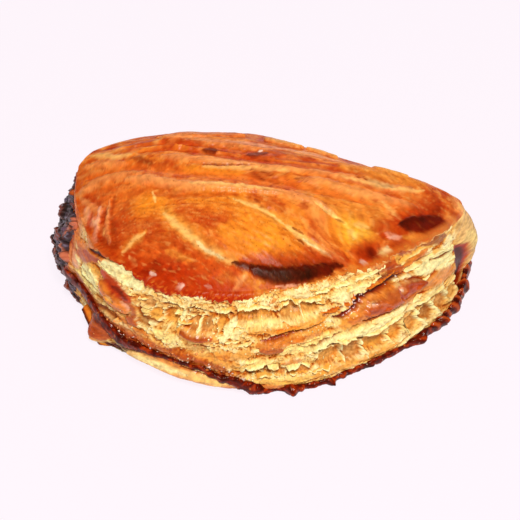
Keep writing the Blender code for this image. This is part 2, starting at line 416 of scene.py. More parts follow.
def lay_strokes(table, x, y, seed, paint, relief, gloss, calm, scale=(1, 1)):
    """Lays a table of brush strokes on a surface, one after the other. A row is: colour, half width,
    strength, softness of the edge, bump, gloss, and the points its middle runs through. One is a round spot.
    A stroke covers the paint. It narrows towards its ends, and noise makes its edge uneven. A bump above 0
    raises a round welt, one below 0 sinks a flat hollow of that depth, and the noise there is calmed."""
    (far_x, long_x), (far_y, long_y) = STROKE_WANDER
    wx = x + far_x * grain((x, y), long_x, seed, 3)
    wy = y + far_y * grain((x, y), long_y, seed + 1, 3)
    shade = 1 + STROKE_SHADE * grain((x, y), (3.0, 1.6), seed + 2, 4)
    for number, (colour, half, strength, soft, bump, shine, points) in enumerate(table):
        spine = np.array(points, float) * scale
        low, high = spine.min(0) - 2.2 * half - 1, spine.max(0) + 2.2 * half + 1
        near = (wx > low[0]) & (wx < high[0]) & (wy > low[1]) & (wy < high[1])
        if not near.any():
            continue
        px, py = wx[near], wy[near]
        if len(points) == 1:
            away, width = np.hypot(px - spine[0, 0], py - spine[0, 1]), half
        else:
            away, share = distance_to(smooth_line(spine, 6 * len(points)), px, py)
            width = half * (STROKE_END + (1 - STROKE_END) * np.sin(np.pi * share) ** 0.5)
            uneven = 0.45 / (0.8 + 0.4 * half) * grain((share * 9 + number, 0 * share), 1, seed + 3, 2)
            width = width * (1 + uneven)
        reach = away / width
        here = ease((1 - reach) / soft + 0.5)
        cover = (here * strength)[:, None]
        paint[near] = paint[near] * (1 - cover) + DOUGH[colour] * shade[near][:, None] * cover
        gloss[near] = gloss[near] * (1 - here) + shine * here
        if bump > 0:
            flattened = min(WELT_FLATTENS[0] * shine, WELT_FLATTENS[1])
            welt = bump * np.sqrt(np.clip(1 - (reach / 1.1) ** 2, 0, 1))
            relief[near] = relief[near] * (1 - here * flattened) + welt
        if bump < 0:
            relief[near] = relief[near] * (1 - here) + bump * here
        if bump:
            calm[near] = np.maximum(calm[near], here)


# ---------- the lid


def plain_wall(angle, share):
    """Radius and height of the wall with no relief, from the foot (share 0) to the shoulder (share 1)."""
    foot, shoulder, height = (through_stations(angle, k) for k in (1, 2, 3))
    z = height * share
    turn_in = np.clip(share, 0, None) ** (1 + FOLD_UPRIGHT * (1 - front_mask(angle)))
    tuck = FOOT_TUCK * np.clip(1 - z / FOOT_HEIGHT, 0, 1) ** 2
    return foot + (shoulder - foot) * turn_in + WALL_BELLY * np.sin(np.pi * np.clip(share, 0, 1)) - tuck, z


def lid_base(angle, share):
    """A point of the lid with no relief, from the crown (share 0) to the shoulder (share 1)."""
    turn = np.radians(angle)
    shoulder, height = through_stations(angle, 2), through_stations(angle, 3)
    x = CROWN[0] * (1 - share) + share * shoulder * np.cos(turn)
    y = CROWN[1] * (1 - share) + share * shoulder * np.sin(turn)
    power = LID_ROUNDNESS + FOLD_ROUNDNESS * np.clip(np.sin(turn), 0, 1)
    z = height + (CROWN[2] - height) * (1 - share**power)
    return x, y, z


LID_STROKES = (
    # colour, half width, strength, softness, bump, gloss, points (mm in plan)
    # broad bakes
    ("roast", 9, 0.45, 1.5, 0, 0.4, ((-62, 24), (-60, 10), (-54, -2), (-44, -10))),
    ("ember", 9, 0.5, 1.5, 0, 0.4, ((-56, 10), (-46, 6), (-38, 0))),
    ("roast", 6, 0.4, 1.5, 0, 0.5, ((-52, -2), (-42, -5), (-34, -10))),
    ("glaze", 6, 0.7, 1.4, 0, 0.4, ((-44, -14), (-30, -22), (-16, -27), (-6, -28))),
    ("glaze", 1.6, 0.6, 1.4, 0, 0.4, ((-36, -19), (-28, -23), (-20, -25))),
    ("roast", 6, 0.55, 1.5, 0, 0.5, ((-38, -10), (-28, -16), (-16, -23))),
    ("ember", 4, 0.5, 1.5, 0, 0.4, ((-40, -14), (-34, -17))),
    ("roast", 7, 0.35, 1.5, 0, 0.3, ((-44, 34), (-20, 34), (10, 30))),
    ("roast", 3, 0.45, 1.5, 0, 0.4, ((-28, -4), (-18, -8), (-8, -11))),
    ("glow", 7, 0.55, 1.6, 0, 0.4, ((-12, -13), (2, -17), (14, -19))),
    ("glow", 4, 0.6, 1.5, 0, 0.4, ((-2, -16), (8, -19))),
    ("glow", 5, 0.45, 1.6, 0, 0.4, ((-24, 0), (-10, -2), (2, -8), (14, -9))),
    ("glow", 6, 0.75, 1.6, 0, 0.4, ((30, -6),)),
    ("amber", 5.5, 0.45, 1.6, 0, 0.4, ((14, 5), (28, 4), (42, 5))),
    ("glow", 4.4, 0.6, 1.7, 0, 0.3, ((-38, 0.6),)),
    ("glow", 3.4, 0.4, 1.7, 0, 0.3, ((-32, -1),)),
    ("glow", 2.6, 0.5, 1.6, 0, 0.3, ((-26, 13), (-16, 12), (-6, 11))),
    ("ember", 5, 0.45, 1.6, 0, 0.4, ((40, 12), (52, 14), (62, 19))),
    ("roast", 3.2, 0.45, 1.5, 0, 0.4, ((-4, -1), (2, -3), (8, -4))),
    ("roast", 4, 0.6, 1.5, 0, 0.5, ((42, -2), (47, 2), (52, 5))),
    ("roast", 3.6, 0.65, 1.4, 0.2, 0.6, ((31, -13), (36, -11), (41, -8))),
    ("brown", 1.6, 0.8, 1.3, 0, 0.6, ((33, -12.4), (36, -11.2), (39, -9.6))),
    ("amber", 4, 0.45, 1.6, 0, 0.3, ((28, 20), (44, 21), (58, 25))),
    ("brown", 1.8, 0.5, 1.6, 0, 0.5, ((-36.6, -19.6), (-32, -22.4))),
    ("brown", 1, 0.45, 1.6, 0, 0.5, ((-27, -20.4), (-25.6, -20.8))),
    ("ember", 2.4, 0.55, 1.6, 0, 0.4, ((-26, -19), (-18, -23.4), (-10, -26.4))),
    ("amber", 1.3, 0.45, 1.7, 0, 0.4, ((-31, -16.6), (-22, -21.6))),
    ("amber", 1.6, 0.45, 1.7, 0, 0.4, ((-14, -27), (-8, -27.6))),
    # soft ridges that run from the left down to the right, with a painted sheen along their crests and darker
    # valleys between them
    ("peach_and_sheen", 2, 0.55, 1.6, 0.8, 0.5, ((-64, 15.5), (-56, 16.6), (-47, 16.4), (-40, 14.6))),
    ("peach_and_sheen", 1.9, 0.75, 1.6, 1, 0.5,
     ((-46, 13.4), (-40, 11.5), (-34, 9), (-27, 6.6), (-21, 5), (-11, 3.7), (-4, 3.3), (6, 2.6))),
    ("straw", 0.8, 0.6, 1.6, 0, 0.5, ((-24, 5.8), (-14, 4.4), (-4, 3.6), (6, 3))),
    ("peach_and_sheen", 1.5, 0.6, 1.6, 0.7, 0.5, ((4, 3), (10, 2.6), (16, 2), (20, 0.8), (26, -2))),
    ("peach_and_sheen", 1.9, 0.6, 1.6, 0.8, 0.5,
     ((-34, 20.6), (-28, 19.6), (-22, 18), (-10, 15.8), (2, 14.2), (14, 13.8))),
    ("straw", 0.9, 0.55, 1.5, 0.2, 0.4, ((-20, 14), (-12, 13.4), (0, 13), (10, 12.6))),
    ("peach_and_sheen", 1.5, 0.6, 1.6, 0.6, 0.5, ((14, 14), (28, 14.5), (40, 15), (48, 16.8), (54, 19.4))),
    ("straw", 0.6, 0.6, 1.4, 0.1, 0.4, ((26, 14.2), (38, 14.4), (46, 15.8), (54, 18.8), (58, 21.4))),
    ("peach_and_sheen", 1.5, 0.55, 1.6, 0.6, 0.5, ((12, 10), (22, 10.8), (32, 9.8), (42, 10.8), (54, 12.4))),
    ("peach_and_sheen", 1.8, 0.5, 1.6, 0.7, 0.6, ((-36, 35), (-24, 31.6), (-14, 28), (-4, 26), (6, 22.6), (14, 20.6))),
    ("pink_and_sheen", 1.2, 0.45, 1.5, 0.3, 0.6, ((-12, 30), (2, 27), (14, 26), (28, 24))),
    ("straw", 2.2, 0.55, 1.4, 1.3, 0.3, ((2, 33.6), (9, 33), (15, 31.6))),
    ("straw", 1.8, 0.6, 1.4, 1.2, 0.3, ((17, 31), (22, 29.6), (27, 28))),
    ("straw", 1.6, 0.5, 1.4, 0.9, 0.3, ((40, 25.6), (46, 25), (52, 25.4))),
    ("peach_and_sheen", 3.2, 0.4, 1.5, 1.2, 0.4, ((-34, 34), (-26, 36), (-16, 36), (-6, 35))),
    ("peach_and_sheen", 1.6, 0.45, 1.6, 0.6, 0.5, ((-62, 26), (-54, 24), (-46, 20.4))),
    ("straw", 1.3, 0.65, 1.3, 0.4, 0.3, ((-60, 31), (-54, 28), (-50, 25.2), (-45, 24.8))),
    ("straw", 1, 0.45, 1.5, 0.2, 0.3, ((-38, 28), (-36.5, 31), (-35, 34))),
    ("ember", 1.8, 0.6, 1.5, -0.6, 0.3,
     ((-60, 20), (-50, 19.6), (-40, 17), (-32, 14), (-22, 11), (-8, 8.4), (8, 7.4), (22, 6.6),
      (38, 7))),
    ("roast", 1.5, 0.55, 1.5, -0.5, 0.3,
     ((-42, 25.6), (-30, 24.6), (-14, 20.6), (2, 18), (18, 16.6), (34, 17.6))),
    ("roast", 1.6, 0.5, 1.5, -0.5, 0.3, ((-48, 30), (-32, 29), (-18, 26), (-4, 22.8), (12, 20.4), (26, 20))),
    ("roast", 1.4, 0.5, 1.5, -0.3, 0.3, ((-36, 4.6), (-28, 2.4), (-18, 0.6), (-8, 0.6))),
    # knife cuts, torn open and pale in a shallow valley
    ("amber", 2.4, 0.7, 1.4, -0.6, 0.2, ((-33, -2), (-28, -8), (-21, -15.4), (-14, -20), (-7, -23))),
    ("straw", 1.2, 0.75, 1.5, 0, 0.1,
     ((-32, -3.4), (-30, -6.2), (-27, -9.6), (-23.6, -13), (-19.6, -17), (-15, -20), (-10.6, -22.2),
      (-5.6, -23.6))),
    ("cream", 0.6, 0.75, 1.1, 0, 0.1, ((-21, -15.8), (-17, -19), (-12, -21.6))),
    ("straw", 0.5, 0.8, 1.2, 0, 0.1, ((-36.4, 5.4), (-35.6, 2.6), (-35.4, 0.4))),
    ("amber", 1.7, 0.55, 1.6, -0.2, 0.1, ((-46, -12), (-42.4, -10.6), (-38, -8.6))),
    ("straw", 0.7, 0.7, 1.6, -0.2, 0.1, ((-46.4, -12.6), (-43.6, -11.4), (-42, -9.8), (-38.4, -9))),
    ("straw", 0.7, 0.7, 1.3, -0.2, 0.1, ((-43.4, -14.6), (-42.4, -16.6), (-40.6, -18.4))),
    ("amber", 1.8, 0.6, 1.4, -0.4, 0.2, ((-10, -0.6), (-2, -4), (6, -8), (14, -12.4), (24, -17))),
    ("straw", 0.7, 0.8, 1.2, 0, 0.1, ((-8.8, -1), (-4.6, -2.8), (-0.4, -4.4), (3.6, -6.4), (8, -9))),
    ("straw", 1.1, 0.75, 1.4, 0, 0.1, ((8, -9.2), (13, -12), (17.8, -14.4), (23, -16.2), (29, -17))),
    ("cream", 0.5, 0.7, 1.1, 0, 0.1, ((14, -12.8), (19, -15), (24, -16.4))),
    ("shadow", 0.5, 0.75, 1.1, -0.3, 0.1, ((10.6, -10), (12.4, -10.8), (14.4, -11.4))),
    ("shadow", 0.5, 0.75, 1.1, -0.3, 0.1, ((12.6, -13.6), (14.4, -14.6))),
    ("straw", 0.8, 0.85, 1.2, -0.3, 0.1, ((18.4, 1.2), (22.6, -1), (26, -2.4), (30, -5), (31.4, -8.6))),
    ("brown", 0.7, 0.75, 1.1, -0.4, 0.1, ((25.6, -2.8), (28.4, -3.6))),
    ("sun", 4.2, 0.7, 1.7, 0, 0.4, ((31.4, -5.2),)),
    ("sun", 2.6, 0.45, 1.7, 0, 0.4, ((36.4, -3.4),)),
    ("straw", 1.4, 0.5, 1.6, 0, 0.3, ((31, -5), (31.4, -8))),
    ("straw", 1.2, 0.55, 1.5, 0, 0.3, ((32, -2.6), (37, -1.6))),
    ("straw", 0.7, 0.55, 1.4, -0.2, 0.1, ((42, 9.4), (46, 7), (49, 5.4))),
    # brown blisters and marks
    ("brown", 2.5, 0.8, 1.3, 0.3, 0.5, ((-19, 23.4), (-15, 23.2))),
    ("dark", 1.2, 0.5, 1.4, 0, 0.5, ((-18, 23.8), (-15, 22.6))),
    ("roast", 2.6, 0.6, 1.4, 0.2, 0.6, ((-6, 21), (0, 21.4), (8, 22.6))),
    ("brown", 1.3, 0.85, 1.2, 0.2, 0.6, ((-4, 20.6), (-1, 21.2), (2.6, 22.8))),
    # a painted glint on the blister
    ("sugar_and_glint", 0.5, 0.8, 1.2, 0.2, 0.9, ((-0.8, 23), (1, 24))),
    ("rust", 1.6, 0.6, 1.4, 0, 0.5, ((3, 24), (10, 24), (18, 22))),
    ("brown", 1.2, 0.6, 1.4, 0, 0.4, ((-44, 22.6), (-40, 20), (-37, 18))),
    ("brown", 0.4, 0.85, 1.1, -0.3, 0.3, ((-20, 15.3), (-15, 14.9), (-9, 14.7), (-2, 14.6))),
    ("brown", 0.5, 0.7, 1.1, -0.4, 0.3, ((-3, 13.4), (-1.4, 10.6), (1.6, 8))),
    ("brown", 0.4, 0.7, 1.1, -0.4, 0.3, ((-1, 11.8), (2, 11.4), (4, 10))),
    ("rust", 2.4, 0.55, 1.5, 0, 0.4, ((-3, 11), (2, 10), (6, 8))),
    ("brown", 0.7, 0.6, 1.3, 0, 0.3, ((4, 5.4),)),
    ("brown", 0.6, 0.55, 1.3, 0, 0.3, ((-2, -1.4), (0, -2.6))),
    ("rust", 1.6, 0.6, 1.4, -0.2, 0.5, ((-51, -8), (-47, -10))),
    ("brown", 0.7, 0.75, 1.3, 0, 0.6, ((-29.6, -22.4),)),
    ("dark", 1.4, 0.9, 1.2, -0.4, 0.6, ((-39.6, -20.6), (-37, -21.8))),
    ("grey", 1, 0.7, 1.3, -0.3, 0.2, ((37, 15.8), (42, 16.2), (47, 17))),
    ("brown", 0.5, 0.7, 1.2, -0.2, 0.2, ((32, 15.8), (37, 15.8))),
    ("brown", 0.4, 0.6, 1.2, -0.2, 0.2, ((12, 10.6), (16, 9.8))),
    ("roast", 5, 0.25, 1.6, 0, 0, ((-24, -17), (-14, -23), (-4, -27))),
    # lifted, burnt welts
    ("glaze", 3.2, 0.6, 1.5, 0, 0.4, ((47, 5), (54, 9.4), (60, 14), (65, 20))),
    ("roast", 3, 0.75, 1.6, 0, 0.4, ((52, 8), (57, 11.4), (61.4, 15), (63.6, 19))),
    ("brown", 1.4, 0.7, 1.6, 0, 0.3, ((58.6, 11.6), (61.6, 14), (63, 17.6))),
    ("dark", 2.3, 0.95, 0.9, 0.6, 0.2, ((48.2, 3.6), (52.6, 5.8), (57, 8.4), (61, 11), (64, 13.4))),
    ("black", 2.3, 0.94, 0.9, 0.3, 0.1, ((48.6, 3.8), (53.6, 6), (57.6, 8.4), (62.6, 12))),
    ("rust", 1.6, 0.5, 1.4, 0, 0.5, ((56, 13), (60, 17), (63, 21))),
    # the front edge: straw tears, and sugar and pink with painted glints
    ("amber", 1.8, 0.7, 1.4, -0.1, 0.2, ((-4.6, -26), (-6, -28), (-8, -30))),
    ("straw", 0.8, 0.6, 1.5, -0.1, 0.2, ((-4.8, -26.4), (-6.4, -28.6), (-8.6, -30.6))),
    ("amber", 1.6, 0.75, 1.3, 0, 0.3, ((-6, -28.6), (0, -28.8), (6, -28.2), (14, -26.4))),
    ("roast", 1.5, 0.7, 1.4, 0.2, 0.6, ((0, -29), (8, -28.4), (16, -26.4))),
    ("sugar_and_glint", 0.6, 0.85, 1.3, 0.3, 0.8, ((-36.6, -21.6), (-34.4, -23))),
    ("sugar_and_glint", 0.5, 0.85, 1.3, 0.3, 0.8, ((-26.8, -26.8), (-24.6, -28))),
    ("sugar_and_glint", 0.5, 0.8, 1.3, 0.3, 0.8, ((-18, -29), (-15.6, -29.4))),
    ("amber", 1.6, 0.65, 1.3, 0, 0.3, ((16, -26), (22, -23.4), (28, -19.6), (31, -17))),
    ("pink_and_sheen", 1.5, 0.6, 1.3, 0.3, 0.6, ((43, -1.4), (46.4, -1.6), (49, -0.4))),
    ("sugar_and_glint", 0.5, 0.7, 1.2, 0.2, 0.8, ((44, -2.6), (47, -0.8))),
    ("roast", 3.6, 0.75, 1.6, 0.2, 0.6, ((36.4, -11.2),)),
    ("dark", 1.7, 0.75, 1.6, 0, 0.6, ((37, -11),)),
    ("sugar_and_glint", 0.7, 0.75, 1.4, 0.2, 0.9, ((33.4, -15), (35, -14.6))),
    ("pale", 2, 0.85, 1.1, 0.3, 0.1, ((39.4, -14), (42, -10), (43.4, -6.6))),
    ("cream", 0.9, 0.8, 1.1, 0.2, 0.1, ((40.4, -12.4), (42.8, -8.4), (43.4, -5.6))),
    ("rust", 1.2, 0.8, 1.2, 0.3, 0.6, ((43.4, -10.4), (45.4, -8), (47.6, -6.4))),
    ("brown", 0.35, 0.8, 1, -0.3, 0.2, ((40, -13), (41.8, -10.4), (44.4, -8.4), (47, -5))),
    ("toffee", 1.8, 0.85, 1.2, 0.4, 0.8, ((44, -5), (47.4, -3), (51, -0.8), (55, 2))),
    ("straw", 0.6, 0.75, 1.2, 0.1, 0.2, ((46, -5.4), (50, -3.2), (54, -0.4), (58, 2.6))),
    ("pink_and_sheen", 0.6, 0.75, 1.3, 0.2, 0.8, ((43.6, -2.6), (46.6, -1.4), (49, 0.4))),
    ("sugar_and_glint", 0.6, 0.9, 1.2, 0.2, 0.9, ((51.6, 0.2), (52.4, 0.8))),
    ("straw", 1.6, 0.65, 1.4, 0.3, 0.3, ((52, -3.4), (58, -1), (64, 4), (68, 9))),
    ("peach_and_sheen", 2.8, 0.6, 1.6, 0.3, 0.4, ((64, 4), (69, 11), (71.4, 19), (69.6, 27))),
    ("straw", 1.4, 0.7, 1.5, 0.3, 0.2, ((66, 5), (70.6, 12), (72.4, 19), (71, 25))),
    ("rust", 1, 0.55, 1.5, 0, 0.4, ((65, 10), (68, 16), (68.4, 21))),
    ("amber", 1.4, 0.7, 1.3, 0.2, 0.4, ((49, 0), (55, 2.4), (61, 6.4))),
    ("brown", 1.4, 0.55, 1.6, -0.2, 0.5, ((-55, -4), (-51.6, -7.6), (-48, -10.6))),
    ("straw", 0.9, 0.65, 1.4, 0.3, 0.2, ((-56.6, 2), (-54, -1.6), (-52.6, -4.6))),
    # the folds of the left end: pink and peach on their crests are partly their colour, partly painted sheen;
    # roast between them is darker
    ("pink_and_sheen", 1.3, 0.5, 1.6, 0.4, 0.5, ((-60, 8), (-58, 3), (-55.6, 0))),
    ("roast", 1.3, 0.6, 1.6, -0.3, 0.5, ((-58, 12), (-55, 6), (-51, 1), (-47.6, -4))),
    ("peach_and_sheen", 1.1, 0.5, 1.6, 0.4, 0.5, ((-62.6, 14), (-58, 8), (-53, 3.4), (-50, 0))),
    ("rust", 0.9, 0.55, 1.5, -0.4, 0.4, ((-49.6, 8), (-50.4, 2), (-50, -4), (-48.6, -9))),
    ("peach_and_sheen", 0.7, 0.55, 1.4, 0.5, 0.6, ((-51.2, 7), (-52, 1), (-51.6, -4), (-50.4, -8.6))),
    ("roast", 0.9, 0.7, 1.4, -0.5, 0.4, ((-52.8, 5), (-53.8, 0), (-53.9, -4), (-53.2, -7.2))),
    ("pink_and_sheen", 0.8, 0.6, 1.4, 0.6, 0.7, ((-54.4, 6), (-55.6, 1), (-55.9, -3), (-55.2, -6.4))),
    ("roast", 0.8, 0.6, 1.4, -0.5, 0.4, ((-57.6, 6), (-58.4, 2), (-58.2, -2.6))),
    ("peach_and_sheen", 0.7, 0.6, 1.4, 0.5, 0.7, ((-59.4, 8), (-60, 4), (-59.4, 0.6))),
    ("cream", 1.2, 0.8, 1.3, 0.2, 0.1, ((-61.6, 3.6), (-61.2, 0.8), (-59.6, -2.8))),
    ("roast", 3.8, 0.8, 1.6, 0, 0.2, ((-6, -22.6), (2, -22.8), (12, -21.4), (22, -18.6), (29, -16))),
    ("brown", 2.8, 0.6, 1.6, 0, 0.2, ((-4, -24), (4, -24.4), (12, -23), (20, -20.4), (26, -18.2))),
    ("dark", 1.2, 0.9, 1.4, 0.3, 0.2,
     ((-9, -22.8), (-4, -24), (4, -24.6), (12, -23.6), (20, -20.8), (27.4, -18))),
    ("dark", 2.1, 0.97, 1.2, 0.5, 0.2, ((-3, -25), (4, -26), (12, -25), (19, -22.2), (24, -20))),
    ("black", 1.5, 0.8, 1.1, 0.2, 0.15, ((-1, -25.6), (5, -26.2), (12, -25.2), (19, -22.4))),
    # a painted highlight along the scorch's lower edge
    ("pink_and_sheen", 0.3, 0.7, 1.3, 0.2, 0.8, ((5, -28.6), (10, -28), (15, -26.6))),
)


def flow_across(x, y):
    """Two numbers for the lid's streaks, which are nearly level at the back and slope down at the front. The
    first stays the same along a streak, the second runs along it."""
    slope = 0.06 + 0.42 * ease((4 - y) / 16)
    return y + slope * x, x


BACK_RISE = (-24.0, 33.0, 15.0, 1.6)  # a rise of the crust at the back: middle, half width, height


def lid_surface(angle, share, crust):
    """Place, paint, roughness and gloss of the lid at an angle and a share of the way from crown to shoulder.
    Its paint is broad mottles, bands and blotches along the streaks, strokes, pooled glaze, and flecks."""
    x, y, z = lid_base(angle, share)
    streak = flow_across(x, y)
    edge = ease((share - 0.84) / 0.16) * front_mask(angle)
    mottle = grain((x, y), 7, 62, 3)
    fine = grain(streak, (1.1, 2.0), 63, 3)
    flecks = grain(streak, (1.3, 3.2), 64, 3)
    blotch = grain(streak, (2.4, 3.6), 68, 4)
    bands = grain(streak, (4.0, 26), 67, 2)
    pits = ease(grain(streak, (0.6, 0.9), 65, 2) * 3.2 - 1.9)
    back = 0.35 + 0.3 * ease((y - 4) / 10)
    # mottles and blotches are the crust's own colour; sand on the crests of the bands is painted sheen,
    # russet in their troughs painted shade
    paint = coated(
        plain_coat(crust, x),
        ("apricot", ease(0.2 + 1.4 * mottle) * 0.65),
        ("copper", ease(-0.05 - 1.4 * mottle) * 0.75),
        ("sand_sheen", ease(bands * 2.4 - 0.2) * back),
        ("russet_shade", ease(-bands * 2.4 - 0.3) * back),
        ("blond", ease(blotch * 2.4 - 0.35) * 0.6),
        ("sienna", ease(-blotch * 2.4 - 0.35) * 0.55),
    )
    rise_x, rise_y, rise_wide, rise_tall = BACK_RISE
    relief = 0.22 * grain(streak, (3.2, 16), 51, 2) + 0.5 * grain((x, y), 11, 52, 2)
    relief = relief + rise_tall * bell(np.hypot(x - rise_x, y - rise_y), rise_wide) + 0.3 * bands
    gloss = 0.35 + 0.25 * mottle
    calm = np.zeros_like(x)
    lay_strokes(LID_STROKES, x, y, 200, paint, relief, gloss, calm)
    open_crust = 1 - 0.7 * calm
    paint = coated(
        paint,
        ("glaze", 0.75 * edge * between(POOLED_GLAZE, from_fold(angle)) * ease(0.75 + mottle)),
        ("straw", ease(flecks * 1.6 - 0.3) * 0.26 * open_crust),
        ("roast", ease(-flecks * 1.6 - 0.3) * 0.38 * open_crust),
        ("brown", pits * 0.6),
    )
    paint = shaded(paint, 0.16 * fine, 0.6, 1.4)
    relief = relief + 0.05 * fine - 0.10 * pits + 0.06 * flecks + 0.06 * blotch * (1 - calm)
    relief = relief + 0.35 * edge * grain((x, y), 2.4, 66, 3) * (1 - calm)
    z = z + relief * ease((1 - share) / 0.05)
    rim = ease((share - 0.86) / 0.1)
    rough = np.clip(0.55 - 0.15 * gloss + 0.25 * pits, 0.15, 0.9)
    return x, y, z, paint, rough, np.clip(0.45 * gloss * (1 - 0.8 * rim), 0, 1)


# How thickly the deep red glaze pooled along the front edge of the lid: angle from the fold, share
POOLED_GLAZE = ((178, 0.3), (200, 1), (262, 1), (272, 0.15), (300, 0.1), (335, 0.45), (350, 0.6), (372, 0.4))
# Where the lid's crust ends, drooping at the front: angle from the fold, share of the wall's height
LID_ENDS = (
    (90, 0.93), (178, 0.985), (186, 0.94), (193, 0.965), (200, 0.97), (207, 0.95), (213, 0.92), (220, 0.9),
    (228, 0.92), (240, 0.94), (250, 0.92), (258, 0.945), (268, 0.955), (276, 0.985), (300, 0.985),
    (320, 0.975), (335, 0.93), (345, 0.91), (352, 0.93), (362, 0.87), (374, 0.86), (450, 0.93),
)


LID_X_STEPS, LID_Y_STEPS = 400, 196
LID_EDGE_ROWS = 14
LID_UNDERSIDE = ((0.4, 0.5), (5.0, 0.8), (10.0, 3.0))  # rows behind the lip: how far in, how far down
LIP_LONG = 0.95  # millimetres along the lip for each degree


def lid_edge_share(angle):
    """Height, as a share of the wall, at which the lid's crust ends, with its torn teeth."""
    turned = from_fold(angle)
    a = turned * LIP_LONG
    ragged = (0.034 * grain((a, 0 * a), 4, 81, 3) + 0.018 * grain((a, 0 * a), 1.1, 84, 2)) * front_mask(angle)
    return between(LID_ENDS, turned) + ragged


def lid_piece(lip, crust):
    """Points, faces and finish of the lid's crust: a square grid laid over a disc and the disc over the lid,
    so that its meshes are even, then rows that turn over the shoulder, hang as a lip and go back under it."""
    u = np.linspace(-1, 1, LID_X_STEPS + 1)[None, :]
    v = np.linspace(-1, 1, LID_Y_STEPS + 1)[:, None]
    a, b = u * np.sqrt(1 - v * v / 2), v * np.sqrt(1 - u * u / 2)
    share = np.clip(np.hypot(a, b), 0, 1)
    angle = np.degrees(np.arctan2(b, a))
    x, y, z, paint, rough, gloss = lid_surface(angle, share, crust)
    rows, columns = share.shape
    index = np.arange(rows * columns).reshape(rows, columns)
    ring = np.concatenate((index[0, :-1], index[:-1, -1], index[-1, :0:-1], index[:0:-1, 0]))
    around = angle.ravel()[ring]
    end = lid_edge_share(around)
    front = front_mask(around)
    a = from_fold(around) * LIP_LONG
    bumps = 0.5 * grain((a, 0 * a), 3.0, 82, 3)
    pooled = between(POOLED_GLAZE, from_fold(around))
    start = paint.reshape(-1, 3)[ring]
    points, paints = [np.stack((x, y, z), -1).reshape(-1, 3)], [paint.reshape(-1, 3)]
    for t in np.linspace(0, 1, LID_EDGE_ROWS + 1)[1:]:
        radius, low = plain_wall(around, 1 - (1 - end) * ease(t * 0.98 + 0.02))
        out = lip * (0.35 + 0.65 * pooled + bumps) * front * np.sin(np.pi * (0.08 + 0.72 * t))
        out = out + 0.3 * np.sin(np.pi * t)
        out = out + 0.8 * (1 - front) * np.sin(np.pi * t) * grain((a, 0 * a + 6 * t), (4.0, 3.0), 86, 2)
        points.append(placed(around, radius + out, low))
        tint = grain((a, 0 * a + 8 * t), (2.4, 2.0), 83, 3)
        spots = grain((a, 0 * a + 5 * t), (2.6, 1.4), 85, 3)
        colour = coated(
            plain_coat(DOUGH["amber"], a),
            ("glaze", pooled),
            ("red", ease(0.2 + 1.4 * tint) * pooled * 0.6),
            ("ember", ease(tint * 2.4 - 0.1) * 0.8),
            ("amber", ease(spots * 3 - 1.0) * 0.7),
            ("pale", ease(t * 3 - 2.2 + tint) * 0.8),
        )
        paints.append(blend(start, colour, front * ease(t * 1.8)))
    radius, low = plain_wall(around, end)
    for inward, lower in LID_UNDERSIDE:
        points.append(placed(around, radius - inward, low - lower))
        paints.append(paints[-1])
    count, first = len(ring), rows * columns
    loops = len(points) - 1
    rings = np.concatenate((ring[None], first + np.arange(loops * count).reshape(-1, count)))
    quads = np.concatenate((grid_faces(index), grid_faces(np.concatenate((rings, rings[:, :1]), 1)[::-1])))
    fan = np.stack((np.roll(rings[-1], -1), rings[-1], np.full(count, first + loops * count)), 1)
    points.append(points[-1].mean(0)[None])
    paints.append(paints[-1][:1])
    rough = np.concatenate((rough.ravel(), np.full(loops * count + 1, 0.5)))
    gloss = np.concatenate((gloss.ravel(), np.full(loops * count + 1, 0.12)))
    return np.concatenate(points), quads, fan, np.concatenate(paints), rough, gloss


# ---------- meshes


BAKE_DEPTH = 1.18  # power that deepens the baked colours
DARK_BELOW = 0.75  # the darker a spot is than this, the more it turns to red-brown
DARK_WARMTH = np.array((0.0, 0.55, 1.0))  # how much of the green and the blue then goes


def grid_faces(index):
    """Quads between the rows and columns of an array of point numbers."""
    return np.stack((index[:-1, :-1], index[:-1, 1:], index[1:, 1:], index[1:, :-1]), -1).reshape(-1, 4)


def tube_faces(columns, loop):
    """Faces of a closed tube: one loop of points for each column, joined to the next, and a fan at each end.
    The middles of the two fans are the last two points."""
    index = np.arange(columns * loop).reshape(columns, loop)
    index = np.concatenate((index, index[:, :1]), 1)
    quads = grid_faces(index.T)
    low, high = columns * loop, columns * loop + 1
    ends = (
        np.stack((index[0, :-1], index[0, 1:], np.full(loop, low)), 1),
        np.stack((index[-1, 1:], index[-1, :-1], np.full(loop, high)), 1),
    )
    return quads, np.concatenate(ends)


def with_ends(values):
    """The values of a tube's loops, then those of the two fan middles."""
    flat = values.reshape(-1, *values.shape[2:])
    return np.concatenate((flat, values[0].mean(0)[None], values[-1].mean(0)[None]))


def tube(points, paint, rough, gloss):
    """A closed tube from arrays of columns by loops. Its roughness and gloss can be one number each."""
    rough, gloss = (np.broadcast_to(values, paint.shape[:2]) for values in (rough, gloss))
    quads, caps = tube_faces(*points.shape[:2])
    return with_ends(points), quads, caps, with_ends(paint), with_ends(rough), with_ends(gloss)


def joined(parts):
    """Several pieces as one: their points and finish one after the other, their faces counted on."""
    shift = np.cumsum([0] + [len(part[0]) for part in parts[:-1]])
    quads = np.concatenate([np.asarray(part[1]).reshape(-1, 4) + by for part, by in zip(parts, shift)])
    triangles = np.concatenate([np.asarray(part[2]).reshape(-1, 3) + by for part, by in zip(parts, shift)])
    rest = [np.concatenate([part[k] for part in parts]) for k in (0, 3, 4, 5)]
    return rest[0], quads, triangles, *rest[1:]


